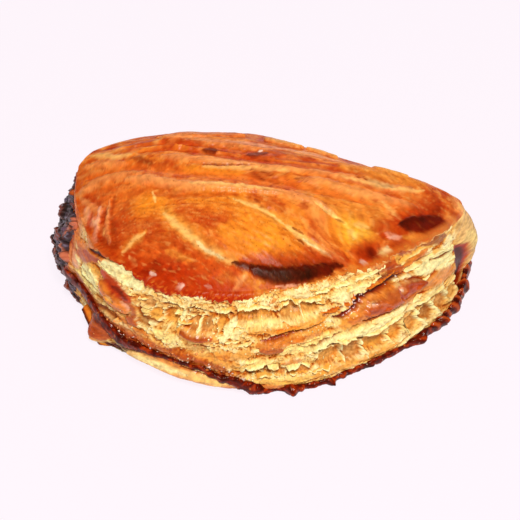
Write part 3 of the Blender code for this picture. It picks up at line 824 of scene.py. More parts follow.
def make_piece(name, material, points, quads, triangles, paint, rough, gloss):
    """A mesh object at the origin that rides on the root body, with its paint, roughness and gloss at each
    point. Dark browns are made warmer first: those that have more green than blue lose some of both."""
    mesh = bpy.data.meshes.new(name)
    place = (points - (*PLAN_MIDDLE, 0.0)) * MM
    red, green, blue = (paint[:, k : k + 1] for k in range(3))
    brown = np.clip(1.5 * (green - blue) / (green + 1e-4), 0, 1)
    darkness = np.clip(1 - red / DARK_BELOW, 0, 1) * brown
    paint = np.clip(paint * (1 - darkness * DARK_WARMTH), 0, 1)
    corners = np.concatenate((np.asarray(quads).ravel(), np.asarray(triangles).ravel())).astype(np.int32)
    sizes = np.concatenate((np.full(len(quads), 4), np.full(len(triangles), 3))).astype(np.int32)
    starts = np.concatenate(((0,), np.cumsum(sizes)[:-1])).astype(np.int32)
    mesh.vertices.add(len(place))
    mesh.vertices.foreach_set("co", place.astype(np.float32).ravel())
    mesh.loops.add(len(corners))
    mesh.loops.foreach_set("vertex_index", corners)
    mesh.polygons.add(len(sizes))
    mesh.polygons.foreach_set("loop_start", starts)
    mesh.update(calc_edges=True)
    mesh.validate()
    colour = mesh.attributes.new("paint", "FLOAT_COLOR", "POINT")
    rgba = np.concatenate((paint**BAKE_DEPTH, np.ones((len(paint), 1))), 1)
    colour.data.foreach_set("color", rgba.astype(np.float32).ravel())
    for key, values in (("rough", rough), ("gloss", gloss)):
        layer = mesh.attributes.new(key, "FLOAT", "POINT")
        layer.data.foreach_set("value", np.clip(values, 0, 1).astype(np.float32))
    mesh.materials.append(material)
    mesh.shade_smooth()
    piece = bpy.data.objects.new(name, mesh)
    bpy.context.scene.collection.objects.link(piece)
    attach(piece, "root")
    return piece


# ---------- the wall

LEAF_PITCH, LEAF_DEPTH, LEAF_WANDER = 4.6, 1.5, 2.6
LEAF_WAVE, LEAF_TEAR = 13.0, 6.5
MEAN_RADIUS = 55.0
FORM_SHARE = 0.8  # how much of the solid's hollows and swellings the finish takes up
SWELLINGS = [form for form in WALL_FORMS if form[-1] > 0]
SOLID_SEED = 7
LACE_SINK = 2.4
DEGREE_LONG = 0.96  # millimetres round the wall for each degree
WALL_TALL = 36.0  # millimetres for the whole height, where strokes are laid
WALL_SCALE = (DEGREE_LONG, WALL_TALL / 100)  # of points in degrees and percent of the height


WAVES = 9


def ripple(place, size, seed):
    """The solid's own unevenness: a sum of waves with random headings."""
    draw = np.random.default_rng(seed)
    total = 0.0
    for _ in range(WAVES):
        heading = draw.normal(size=len(place))
        heading /= np.linalg.norm(heading) * size * draw.uniform(1.3, 3.2)
        phase = draw.uniform(0, 2 * np.pi)
        total = total + np.sin(2 * np.pi * sum(h * p for h, p in zip(heading, place)) + phase)
    return total / (0.5 * WAVES)


def layer_height(angle, z):
    """Height measured along the leaves of dough, which wander as they go round and sink at the right."""
    turn = np.radians(angle)
    place = (MEAN_RADIUS * np.cos(turn), MEAN_RADIUS * np.sin(turn), z * 1.5)
    sunk = 0.05 * np.clip(angle_gap(angle, 300), 0, 60)
    return z + LEAF_WANDER * ripple(place, LEAF_WAVE, SOLID_SEED) + sunk


WALL_STROKES = (
    # colour, half height in mm, strength, softness, bump, gloss, points (degrees, percent of the height)
    # left: folds under the lid, and the glossy tongue with a painted glint
    ("cream", 2.4, 0.95, 1, 0.5, 0.1, ((171, 96), (175, 92), (179, 87))),
    ("amber", 1.2, 0.8, 1, 0.4, 0.2, ((176, 80), (180, 78), (185, 75))),
    ("pink_and_sheen", 2.6, 0.8, 1.1, 0.5, 0.5, ((174, 62), (178, 62), (181, 55))),
    ("rust", 0.6, 0.8, 1.1, -0.5, 0.4, ((174, 80), (176, 68), (178, 54))),
    ("toffee", 0.8, 0.8, 1.1, 0.3, 0.5, ((171.6, 78), (173.4, 66), (175.4, 52))),
    ("cream", 0.7, 0.8, 1.1, 0.4, 0.1, ((177.4, 76), (179.6, 68), (181.6, 60))),
    ("orange", 2, 0.85, 1, 0.6, 0.5, ((178, 78), (184, 84), (189, 84))),
    ("toffee", 2.2, 0.9, 1, 0.6, 0.6, ((179, 70), (183, 74), (187, 78))),
    ("orange", 2, 0.85, 1, 0.5, 0.5, ((182, 95), (188, 90), (194, 92))),
    ("brown", 0.8, 0.85, 0.9, -0.6, 0.4, ((184, 86), (189, 93), (194, 96))),
    ("rust", 1.2, 0.85, 1, 0.3, 0.5, ((182, 79), (186, 82), (190, 87))),
    ("dark", 0.6, 0.8, 1.1, -0.6, 0.4, ((184, 87), (188, 90.5), (192, 94), (196, 95.5))),
    ("cream", 2.8, 0.95, 1, 0.5, 0.1, ((183, 62), (189, 66), (195, 62))),
    ("pale", 1.8, 0.9, 1, 0.4, 0.1, ((181, 52), (187, 52), (193, 55))),
    ("amber", 1, 0.7, 1.1, -0.3, 0.1, ((189, 75), (193, 72), (195, 60))),
    ("cream", 3.2, 0.95, 1, 0.3, 0.1, ((192, 86), (200, 90), (210, 88))),
    ("gold", 1.6, 0.7, 1.2, 0, 0.1, ((186, 73), (192, 76))),
    ("pink_and_sheen", 1.6, 0.6, 1.2, 0.2, 0.3, ((181, 48), (186, 45))),
    ("toffee", 2.4, 0.9, 1, 0.4, 0.4, ((182, 38), (187, 38), (191, 44))),
    ("cream", 1.2, 0.9, 1, 0.4, 0.1, ((188, 32), (192, 36), (196, 37))),
    ("beige", 2.2, 0.85, 1, 0.5, 0.1, ((192, 46), (198, 42), (205, 40))),
    ("shadow", 0.9, 0.7, 1.1, -0.5, 0.1, ((194, 42), (199, 46), (204, 44))),
    ("shadow", 0.7, 0.6, 1.1, -0.4, 0.1, ((197, 36), (203, 37), (208, 35))),
    ("pink_and_sheen", 1, 0.6, 1.1, 0.2, 0.3, ((200, 39), (206, 36))),
    ("gold", 2.4, 0.8, 1, 0.6, 0.3, ((197, 66), (201, 64), (205, 60))),
    ("orange", 3, 0.95, 0.8, 1.5, 0.7, ((195.5, 74), (199, 70), (204, 64), (208.5, 60))),
    ("gold", 1.2, 0.8, 1.1, 0.2, 0.5, ((200, 65), (203.6, 64))),
    ("glaze", 1.5, 0.92, 0.9, 0.5, 0.8, ((193, 80), (197, 79), (202, 76), (206, 73), (209, 70))),
    ("dark", 0.6, 0.6, 1.3, 0, 0.8, ((200, 77), (204, 75), (208, 71))),
    ("rust", 1.2, 0.8, 1.2, 0.3, 0.6, ((207, 70), (210, 64), (212, 56))),
    # a painted glint on the tongue
    ("pink_and_sheen", 0.5, 0.8, 1.1, 0.3, 0.8, ((206, 68), (208, 65), (209, 61))),
    ("toffee", 1.8, 0.95, 0.8, 0.9, 0.6, ((209, 53), (211, 52.5), (213.5, 51))),
    ("orange", 0.8, 0.8, 0.9, 0.3, 0.3, ((203, 52), (208, 47), (213, 44), (219, 44))),
    # the caramel that ran down over the left corner, and the broken plate of crust below it
    ("brown", 3.6, 0.95, 1, 0.2, 0.5, ((174, 34), (179, 38), (185, 38), (192, 36), (199, 30), (206, 22))),
    ("dark", 2, 0.9, 1.1, 0.2, 0.5, ((178, 38), (185, 38), (192, 36), (198, 32), (204, 27), (210, 25))),
    ("rust", 1.2, 0.7, 1.1, 0.2, 0.5, ((181, 44), (188, 44), (195, 40))),
    ("brown", 1.8, 0.85, 1.1, 0, 0.4, ((200, 32), (206, 31), (214, 32), (222, 31))),
    ("dark", 2.4, 0.95, 0.9, 0, 0.4, ((199, 2), (204, 6), (209, 11), (213, 16))),
    ("toffee", 3.6, 0.95, 0.8, 0.4, 0.4, ((188, 24), (193, 19), (198, 17), (202, 18))),
    ("rust", 2, 0.7, 1.3, 0, 0.3, ((190, 22), (195, 17), (200, 17))),
    ("amber", 0.7, 0.7, 1.2, 0, 0.3, ((189, 15), (195, 11), (200, 11))),
    ("dark", 0.9, 0.9, 0.9, 0, 0.3, ((186, 16), (189, 7), (194, 3), (200, 5), (204, 9))),
    # pockets of the upper left, with bright walls between them
    ("beige", 2.2, 0.85, 0.7, -1, 0.1, ((212.5, 80), (217, 74))),
    ("gold", 2, 0.8, 0.7, -1.1, 0.1, ((217, 67), (221.5, 67))),
    ("gold", 2.6, 0.85, 0.6, -1.5, 0.1, ((223, 71), (226, 70), (230, 69))),
    ("grey", 1.5, 0.8, 0.8, -0.9, 0.1, ((213, 57), (218, 55))),
    ("beige", 2.4, 0.85, 0.7, -1.2, 0.1, ((235.5, 69), (239, 67))),
    ("beige", 2.1, 0.85, 0.6, -1.2, 0.1, ((241, 67), (246, 68))),
    ("gold", 1.5, 0.8, 0.7, -1, 0.1, ((248.5, 71), (251.5, 72))),
    ("grey", 1.4, 0.7, 0.9, -0.8, 0.1, ((242.5, 71), (245, 72))),
    # dark lines along the tops of the pockets: painted shadow
    ("shadow", 0.5, 0.8, 0.8, -0.8, 0.1, ((212, 72), (213, 63), (217, 60.5), (223, 61))),
    ("shadow", 0.4, 0.7, 0.8, -0.6, 0.1, ((221, 79), (225, 81.5), (230, 80))),
    ("shadow", 0.5, 0.8, 0.8, -0.8, 0.1, ((233, 81), (237, 83), (242, 81))),
    ("brown", 0.55, 0.8, 0.8, -0.9, 0.1, ((249.5, 79), (252.5, 81), (255.5, 79))),
    ("cream", 1, 0.95, 0.7, 1, 0.1, ((232, 80), (231.6, 72), (231.2, 63))),
    ("cream", 0.7, 0.9, 0.7, 0.8, 0.1, ((240.2, 76), (240, 70), (240.2, 62))),
    ("cream", 1.8, 0.95, 0.8, 1, 0.1, ((251, 56), (253, 62), (255, 70), (257.4, 76))),
    ("cream", 1.6, 0.8, 1, 0.3, 0.1, ((256, 62), (260, 66))),
    ("pale", 2, 0.75, 1.1, 0.4, 0.1, ((221, 50), (226, 49), (232, 51))),
    ("pale", 1.2, 0.7, 1, 0.2, 0.1, ((213, 66), (216, 70))),
    ("amber", 2.2, 0.85, 1.2, 0.4, 0.4, ((231, 60), (237, 57), (243, 57), (249, 60))),
    ("rust", 1.1, 0.85, 1.2, 0.6, 0.6, ((233, 60.5), (237, 58.5), (243, 58), (247.5, 60))),
    ("pale", 2, 0.6, 1.2, 0, 0.1, ((233, 47), (240, 48), (247, 47))),
    ("grey", 1.4, 0.55, 1.2, -0.3, 0.1, ((236, 46), (242, 47), (246, 46))),
    ("brown", 0.28, 0.8, 0.8, -0.4, 0.1, ((240, 51), (243.5, 50), (246.5, 51.5))),
    # crumbly amber band above the syrup
    ("amber", 1.8, 0.7, 1.1, 0.4, 0.3, ((214, 35), (220, 37), (226, 38.5))),
    ("amber", 2.2, 0.7, 1.2, 0.3, 0.2, ((230, 34), (240, 37), (250, 36), (260, 34))),
    ("orange", 1.3, 0.75, 1.1, 0.4, 0.3, ((232, 34.5), (239, 36.5), (246, 34.5))),
    ("amber", 1.7, 0.75, 1, 0.5, 0.2, ((249, 44), (255, 43), (262, 45), (267, 46))),
    ("orange", 1, 0.6, 1.1, 0.2, 0.2, ((250, 42), (256, 42))),
    ("rust", 2, 0.75, 1.2, 0, 0.4, ((206, 32), (220, 33), (232, 33.5), (244, 32), (256, 26))),
    ("toffee", 1.8, 0.7, 1.2, 0.2, 0.3, ((196, 33), (204, 36), (213, 37), (222, 38))),
    ("rust", 1.2, 0.65, 1.2, 0, 0.4, ((250, 24), (258, 19), (266, 15))),
    # middle: caves under the crust, with painted shadow along their tops
    ("gold", 1.7, 0.6, 0.9, -0.8, 0.1, ((258, 79.5), (264, 79), (270, 78), (276, 78))),
    ("brown", 0.5, 0.75, 0.8, -0.9, 0.1, ((256, 82.5), (262, 84.5), (267, 85), (272, 86), (277, 83.5))),
    ("orange", 0.6, 0.7, 1, 0.3, 0.2, ((275, 88), (278, 91), (280, 92))),
    ("shadow", 0.5, 0.8, 0.8, -0.8, 0.1, ((277, 80), (281, 79), (284.5, 82))),
    ("skin", 2.3, 0.9, 0.6, -1.4, 0.1, ((282.5, 77), (288, 79), (293, 77))),
    ("skin", 1.9, 0.9, 0.6, -1.1, 0.1, ((294, 79), (299, 79), (304.5, 78.5))),
    ("shadow", 1.1, 0.9, 0.7, -2.4, 0.1, ((283.8, 83), (286, 85), (290, 85.5), (292.6, 83))),
    ("brown", 0.5, 0.7, 0.8, -2.6, 0.1, ((284.5, 85), (287, 86.8), (290.5, 86.5))),
    ("shadow", 0.6, 0.8, 0.7, -1.6, 0.1, ((294.2, 84.5), (299, 85.2), (303, 83.5))),
    ("cream", 0.5, 0.9, 0.7, 0.8, 0.1, ((293.4, 86), (293.6, 80), (294, 72))),
    ("pale", 1.6, 0.7, 1, 0.4, 0.1, ((262, 70), (268, 71), (274, 72), (282, 70))),
    ("pale", 1.2, 0.7, 1, 0.4, 0.1, ((286, 69), (294, 70), (302, 71))),
    ("shadow", 0.3, 0.7, 0.8, -0.5, 0.1, ((302, 80), (308, 78.5), (314, 80))),
    ("brown", 0.25, 0.6, 0.8, -0.4, 0.1, ((303, 90), (307, 89), (313, 88.5))),
    # amber double band and the lower orange one
    ("amber", 1.3, 0.8, 0.9, 0.6, 0.2,
     ((264, 65.5), (272, 66), (280, 66), (290, 66.5), (300, 68), (308, 70))),
    ("amber", 1.2, 0.8, 0.9, 0.6, 0.2, ((272, 56.5), (280, 59), (290, 60), (300, 61), (308, 62.5))),
    ("orange", 1.5, 0.8, 0.9, 0.7, 0.3, ((268, 53), (275, 55), (284, 56), (292, 56))),
    ("rust", 1.5, 0.8, 0.9, 0.7, 0.4, ((270, 50), (276, 48.5), (281, 50))),
    ("orange", 1, 0.75, 1, 0.4, 0.3, ((288, 54.5), (295, 55.5), (302, 57))),
    ("brown", 0.42, 0.85, 0.8, -0.7, 0.3,
     ((274, 59), (279, 61.2), (284, 63.2), (290, 63.2), (296, 64), (303, 66.5))),
    ("rust", 0.35, 0.75, 0.8, -0.5, 0.3, ((270, 57.5), (275, 58.2), (281, 60), (288, 61.5))),
    ("shadow", 0.4, 0.7, 0.8, -0.5, 0.1, ((288, 51), (296, 51.5), (304, 54))),
    ("orange", 1.6, 0.6, 1.1, 0.4, 0.3, ((309, 60), (315, 60), (320, 62))),
    ("amber", 1.6, 0.6, 1.1, 0.4, 0.2, ((306, 53.5), (313, 54.5), (319, 57))),
    ("pale", 1, 0.7, 1, 0.3, 0.1, ((304, 63), (308, 60), (313, 63))),
    # pale sponge-like bands
    ("pale", 2, 0.8, 1, 0.4, 0.1, ((280, 45), (292, 48), (304, 49), (316, 49), (326, 48))),
    ("pale", 2.6, 0.75, 1, 0, 0.1, ((300, 86), (312, 86), (324, 86), (336, 86), (344, 86))),
    ("cream", 1.3, 0.7, 1, 0.3, 0.1, ((312, 80), (320, 80), (328, 79), (334, 79))),
    ("cream", 1.4, 0.7, 1, 0.3, 0.1, ((298, 46), (306, 47.5), (314, 44), (322, 43), (332, 46), (342, 47))),
    ("brown", 0.3, 0.6, 0.8, -0.5, 0.1, ((288, 50), (296, 47.5), (304, 49.5), (312, 51.5))),
    # the glossy bulge with painted highlights, and the dark seam over it
    ("amber", 2.4, 0.85, 0.9, 0.7, 0.4, ((311, 58), (316, 58), (321, 60))),
    ("orange", 3.2, 0.9, 0.8, 1, 0.6, ((316, 60), (322, 61), (330, 60), (340, 57))),
    ("toffee", 3.4, 0.95, 0.8, 2.4, 0.95,
     ((324, 61), (329, 62), (335, 62.5), (341, 62), (347, 60), (352, 58))),
    ("roast", 2.6, 0.55, 1.3, 0.7, 0.9, ((340, 62), (345, 61), (349, 60))),
    ("orange", 2.2, 0.55, 1.3, 0.6, 0.9, ((325, 60), (329, 60), (333, 59.5))),
    ("brown", 0.6, 0.75, 1.1, -0.2, 0.6, ((322, 54.5), (327, 53), (334, 53), (341, 54), (348, 54))),
    ("rust", 1.5, 0.7, 1.2, 0, 0.8, ((325, 64), (331, 58), (336, 55))),
    ("rust", 2.2, 0.75, 1.2, 0, 0.7, ((345, 60), (349, 62), (352, 59))),
    ("gold", 0.7, 0.6, 1.2, 0.2, 0.6, ((317, 63), (320, 64))),
    ("orange", 1.3, 0.8, 1, 0.4, 0.5, ((334, 53.5), (341, 52.5), (348, 53), (353, 54))),
    # painted highlights on the bulge
    ("pink_and_sheen", 0.6, 0.8, 1.1, 0.3, 0.9, ((327, 66), (330, 66))),
    ("peach_and_sheen", 1.5, 0.75, 1.2, 0.3, 0.8, ((342, 67), (343.6, 62))),
    ("sugar_and_glint", 0.8, 0.9, 1.1, 0.3, 0.9, ((342.4, 65.5), (343.4, 63.5))),
    ("sugar_and_glint", 0.6, 0.9, 1.1, 0.3, 0.9, ((328, 66.5), (329.4, 66))),
    ("orange", 1.3, 0.75, 1, 0.4, 0.3, ((318, 70), (325, 71.5), (333, 72), (341, 72))),
    ("brown", 0.4, 0.8, 0.8, -0.5, 0.5, ((304, 70), (310, 71.5), (316, 71))),
    ("red", 0.7, 0.9, 0.7, -0.9, 0.8,
     ((309, 66), (313, 64.8), (317, 66), (320, 68.5), (324, 72.5), (330, 74.5), (337, 75), (343, 76.2),
      (349, 74.5))),
    ("dark", 0.4, 0.9, 0.7, -0.9, 0.8,
     ((315, 65.5), (320, 69), (326, 73.5), (334, 74.5), (342, 76), (348, 75))),
    ("brown", 0.8, 0.85, 0.8, 0.4, 0.8, ((337, 81), (342, 80), (347, 80.5), (351, 79))),
    ("dark", 0.6, 0.8, 0.8, -0.5, 0.8, ((338, 78.5), (343, 78), (348, 78))),
    # right: orange mess under the crust, the pale flap and what lies below it
    ("orange", 2.6, 0.8, 1, 0.4, 0.5, ((338, 93), (345, 92), (352, 90))),
    ("orange", 3, 0.75, 1.2, 0, 0.4, ((345, 84), (352, 82), (360, 80))),
    ("rust", 1.6, 0.6, 1.3, 0, 0.5, ((338, 88), (346, 84), (352, 80))),
    ("rust", 1.2, 0.8, 0.9, 0.5, 0.6, ((344, 87), (349, 87), (352, 86))),
    ("gold", 2.4, 0.7, 1, 0, 0.2, ((350, 86), (355, 87), (360, 86))),
    ("rust", 2.6, 0.85, 0.9, 0.6, 0.8, ((353, 94), (358, 94), (364, 93))),
    # a painted glint
    ("sugar_and_glint", 1, 0.8, 1, 0.3, 0.9, ((360, 93.5),)),
    ("grey", 0.7, 0.7, 0.9, -0.6, 0.1, ((351, 85.5), (353.5, 85))),
    ("orange", 1.3, 0.8, 0.9, 0.7, 0.6, ((351, 79), (356, 80), (362, 80))),
    ("brown", 2.4, 0.7, 1, 0.3, 0.6, ((362, 92), (366, 86), (369, 82))),
    ("brown", 0.5, 0.8, 0.8, -0.6, 0.3, ((350, 75.5), (356, 76.5), (362, 74.5))),
    ("cream", 3.4, 0.92, 0.8, 0.6, 0.1, ((353, 68), (359, 67), (364, 64), (368, 64))),
    ("cream", 2.2, 0.9, 0.9, 0.4, 0.1, ((360, 57), (364, 55), (367, 52))),
    ("brown", 0.4, 0.7, 0.8, -0.6, 0.2, ((360, 68.5), (364, 65.5), (368, 63))),
    ("orange", 2.4, 0.75, 1, 0.3, 0.4, ((352, 50), (357, 50), (362, 46), (366, 40))),
    ("pale", 1.4, 0.8, 1, 0.4, 0.1, ((349, 40), (354, 36), (358, 35))),
    ("grey", 0.5, 0.7, 0.9, -0.4, 0.1, ((345, 47), (349, 47))),
    # cells of the lower right, under the jagged leaf
    ("skin", 3.6, 0.95, 0.6, -1.4, 0.15, ((298, 28), (303, 29), (307, 29), (310, 27))),
    ("beige", 3.8, 0.95, 0.6, -1.3, 0.15, ((311.5, 26), (315, 25), (320.5, 23))),
    ("gold", 3.3, 0.85, 0.5, -1.4, 0.3, ((322, 25), (326, 25), (331.5, 25))),
    ("gold", 3, 0.85, 0.5, -1.2, 0.3, ((333.5, 25), (338.5, 25))),
    ("skin", 2.8, 0.85, 0.5, -1.2, 0.2, ((340.5, 25), (345, 24))),
    ("grey", 2.8, 0.85, 0.5, -1.4, 0.1, ((347, 25), (352, 24))),
    ("beige", 2.6, 0.85, 0.5, -1.2, 0.1, ((353.5, 25), (358, 23))),
    ("skin", 2.4, 0.85, 0.5, -1, 0.1, ((359, 23), (363, 20))),
    ("gold", 1.6, 0.6, 1.1, 0, 0.3, ((308, 22), (312, 20))),
    ("grey", 0.9, 0.6, 1.1, 0, 0.1, ((315, 34), (322, 32))),
    ("cream", 0.5, 0.9, 0.8, 0.9, 0.1, ((310.6, 38), (310.9, 28), (311.6, 16))),
    ("cream", 0.5, 0.9, 0.8, 0.9, 0.1, ((321, 34), (321.2, 25), (322, 14))),
    ("pale", 0.6, 0.9, 0.8, 0.9, 0.1, ((332.2, 36), (332.4, 26), (333.4, 14))),
    ("pale", 0.6, 0.9, 0.8, 0.9, 0.1, ((339.4, 36), (339.6, 26), (340.4, 14))),
    ("cream", 0.6, 0.9, 0.8, 0.8, 0.1, ((345.8, 34), (346.2, 25), (347, 13))),
    ("cream", 0.6, 0.9, 0.8, 0.8, 0.1, ((352.2, 34), (352.8, 25), (353.4, 14))),
    ("cream", 0.5, 0.9, 0.8, 0.8, 0.1, ((358.4, 32), (358.8, 22))),
    # dark lines under the jagged leaf: painted shadow
    ("brown", 0.7, 0.8, 0.8, -1.6, 0.1, ((296, 39.5), (300, 41.5), (304, 43.5), (308, 40.5), (311, 38.5))),
    ("shadow", 0.8, 0.75, 0.9, -1.4, 0.1, ((311, 38.5), (316, 37), (321, 34.5), (325, 33))),
    ("brown", 0.6, 0.75, 0.8, -1.2, 0.1, ((320, 34.5), (324, 33), (328, 34.5), (334, 36), (341, 38))),
    ("grey", 0.8, 0.7, 0.9, -1, 0.1, ((346, 36), (352, 34.5), (357, 32))),
    # the spiky pocket above the foot, with painted shadow along its top
    ("grey", 1.7, 0.75, 0.8, -1.2, 0.1, ((263, 26), (268, 27), (273, 26), (277, 24))),
    ("beige", 1.5, 0.7, 0.8, -0.9, 0.1, ((280, 22), (285, 23.5), (290, 22.5), (294, 22))),
    ("brown", 0.5, 0.85, 0.7, -1.2, 0.1, ((268, 30), (272, 31.5), (276, 30), (278, 27), (280, 24))),
    ("shadow", 0.4, 0.85, 0.7, -1, 0.1, ((280, 24.5), (284, 27), (288, 28.5), (292, 25.5))),
    ("cream", 0.4, 0.9, 0.8, 0.8, 0.1, ((266, 22), (269, 24.5), (272, 22))),
    ("cream", 0.4, 0.9, 0.8, 0.8, 0.1, ((274, 27), (276.5, 20))),
    ("cream", 0.4, 0.9, 0.8, 0.8, 0.1, ((283, 26), (282, 20))),
    ("orange", 0.9, 0.7, 1, 0.4, 0.3, ((280, 32), (285, 34), (290, 35.5))),
    ("pale", 1, 0.7, 1.1, 0.3, 0.1, ((262, 36), (270, 36), (278, 35))),
    ("gold", 1.5, 0.8, 1, 0.4, 0.3, ((264, 19), (272, 15), (282, 13), (292, 14), (300, 14))),
    ("amber", 1.2, 0.7, 1, 0.3, 0.3, ((294, 15.5), (306, 13), (320, 12), (336, 12))),
    ("orange", 1.6, 0.85, 0.9, 0.5, 0.5, ((268, 8), (274, 6), (281, 7))),
    # the pale lip under the syrup, and the lower left
    ("straw", 3.4, 0.95, 0.9, 0.6, 0.5, ((211, 10), (218, 14), (230, 16), (246, 14), (256, 7))),
    ("peach_and_sheen", 1.9, 0.75, 1.2, 0, 0.3, ((211, 7), (222, 9), (236, 10), (250, 8))),
    ("amber", 1.2, 0.8, 1.1, 0, 0.3, ((211, 2), (222, 3), (240, 3), (250, 2))),
    ("toffee", 0.6, 0.8, 1, 0, 0.3, ((210, 0), (222, 1), (238, 1), (252, 0))),
    ("beige", 1, 0.8, 1.1, -0.3, 0.2, ((216, 5), (219, 8), (222, 6))),
    ("cream", 0.9, 0.6, 1.2, 0, 0.2, ((214, 15), (224, 17), (238, 17))),
    ("orange", 0.8, 0.8, 1, 0.3, 0.5, ((214, 22), (222, 23.5), (234, 23.5), (246, 21.5))),
    ("brown", 0.4, 0.7, 1, -0.3, 0.3, ((234, 23.5), (240, 23), (247, 20.5))),
    ("orange", 3, 0.85, 0.9, 0.4, 0.5, ((252, 6), (258, 3), (266, 2))),
    # right end: the dark red slit and the pale lobe
    ("beige", 6.5, 0.95, 0.8, 0.6, 0.15, ((376, 86), (377, 60), (377.5, 34), (378, 22))),
    ("pale", 2.6, 0.6, 1.3, 0, 0.1, ((374, 66), (375, 50), (376, 34))),
    ("grey", 2.4, 0.5, 1.3, 0, 0.1, ((379, 74), (380, 50), (380, 30))),
    ("shadow", 1, 0.6, 1, -0.3, 0.3, ((382, 80), (384, 50), (384, 26))),
    ("glaze", 2.6, 0.95, 0.8, -1.2, 0.6, ((370, 61), (370.4, 50), (369, 38), (367, 26), (365, 18))),
    ("dark", 1.6, 0.95, 0.9, -1.2, 0.5, ((370, 57), (370, 47), (368.4, 36), (366.4, 26))),
    ("glaze", 1.8, 0.9, 0.9, 0, 0.5, ((367, 10), (373, 8), (381, 10))),
    ("rust", 5, 0.7, 1.1, 0, 0.5, ((388, 80), (390, 50), (391, 20))),
)


POCKETED = (
    # angle, half angle, height, half height as shares of the wall
    (222, 14, 0.66, 0.16),
    (244, 16, 0.64, 0.18),
    (270, 14, 0.74, 0.1),
    (290, 18, 0.78, 0.08),
    (272, 22, 0.32, 0.1),
    (350, 14, 0.28, 0.12),
)


def pocketed(angle, share):
    """How much of a spot's leaves parted into pockets with thin bright walls, from 0 to 1."""
    spots = [bell(angle_gap(angle, at), half) * bell(share - high, tall) for at, half, high, tall in POCKETED]
    return np.clip(1.3 * sum(spots), 0, 1)


def fold_paint(a, drop, share, crumb):
    """The baked crust of the fold: broad mottles, level flecks and a paler foot."""
    mottle = grain((a, drop), (9, 6), 119, 3)
    flecks = grain((a, drop), (5.0, 1.2), 120, 3)
    paint = coated(
        plain_coat(DOUGH["crust"], share),
        ("apricot", ease(0.2 + 1.4 * mottle) * 0.65),
        ("copper", ease(0.05 - 1.4 * mottle) * 0.75),
        ("straw", ease(flecks * 1.6 - 0.3) * 0.4),
        ("roast", ease(-flecks * 1.6 - 0.3) * 0.45),
        ("biscuit", ease(1.1 - share * 3 + 0.5 * mottle) * 0.75),
    )
    return shaded(paint, 0.25 * crumb)


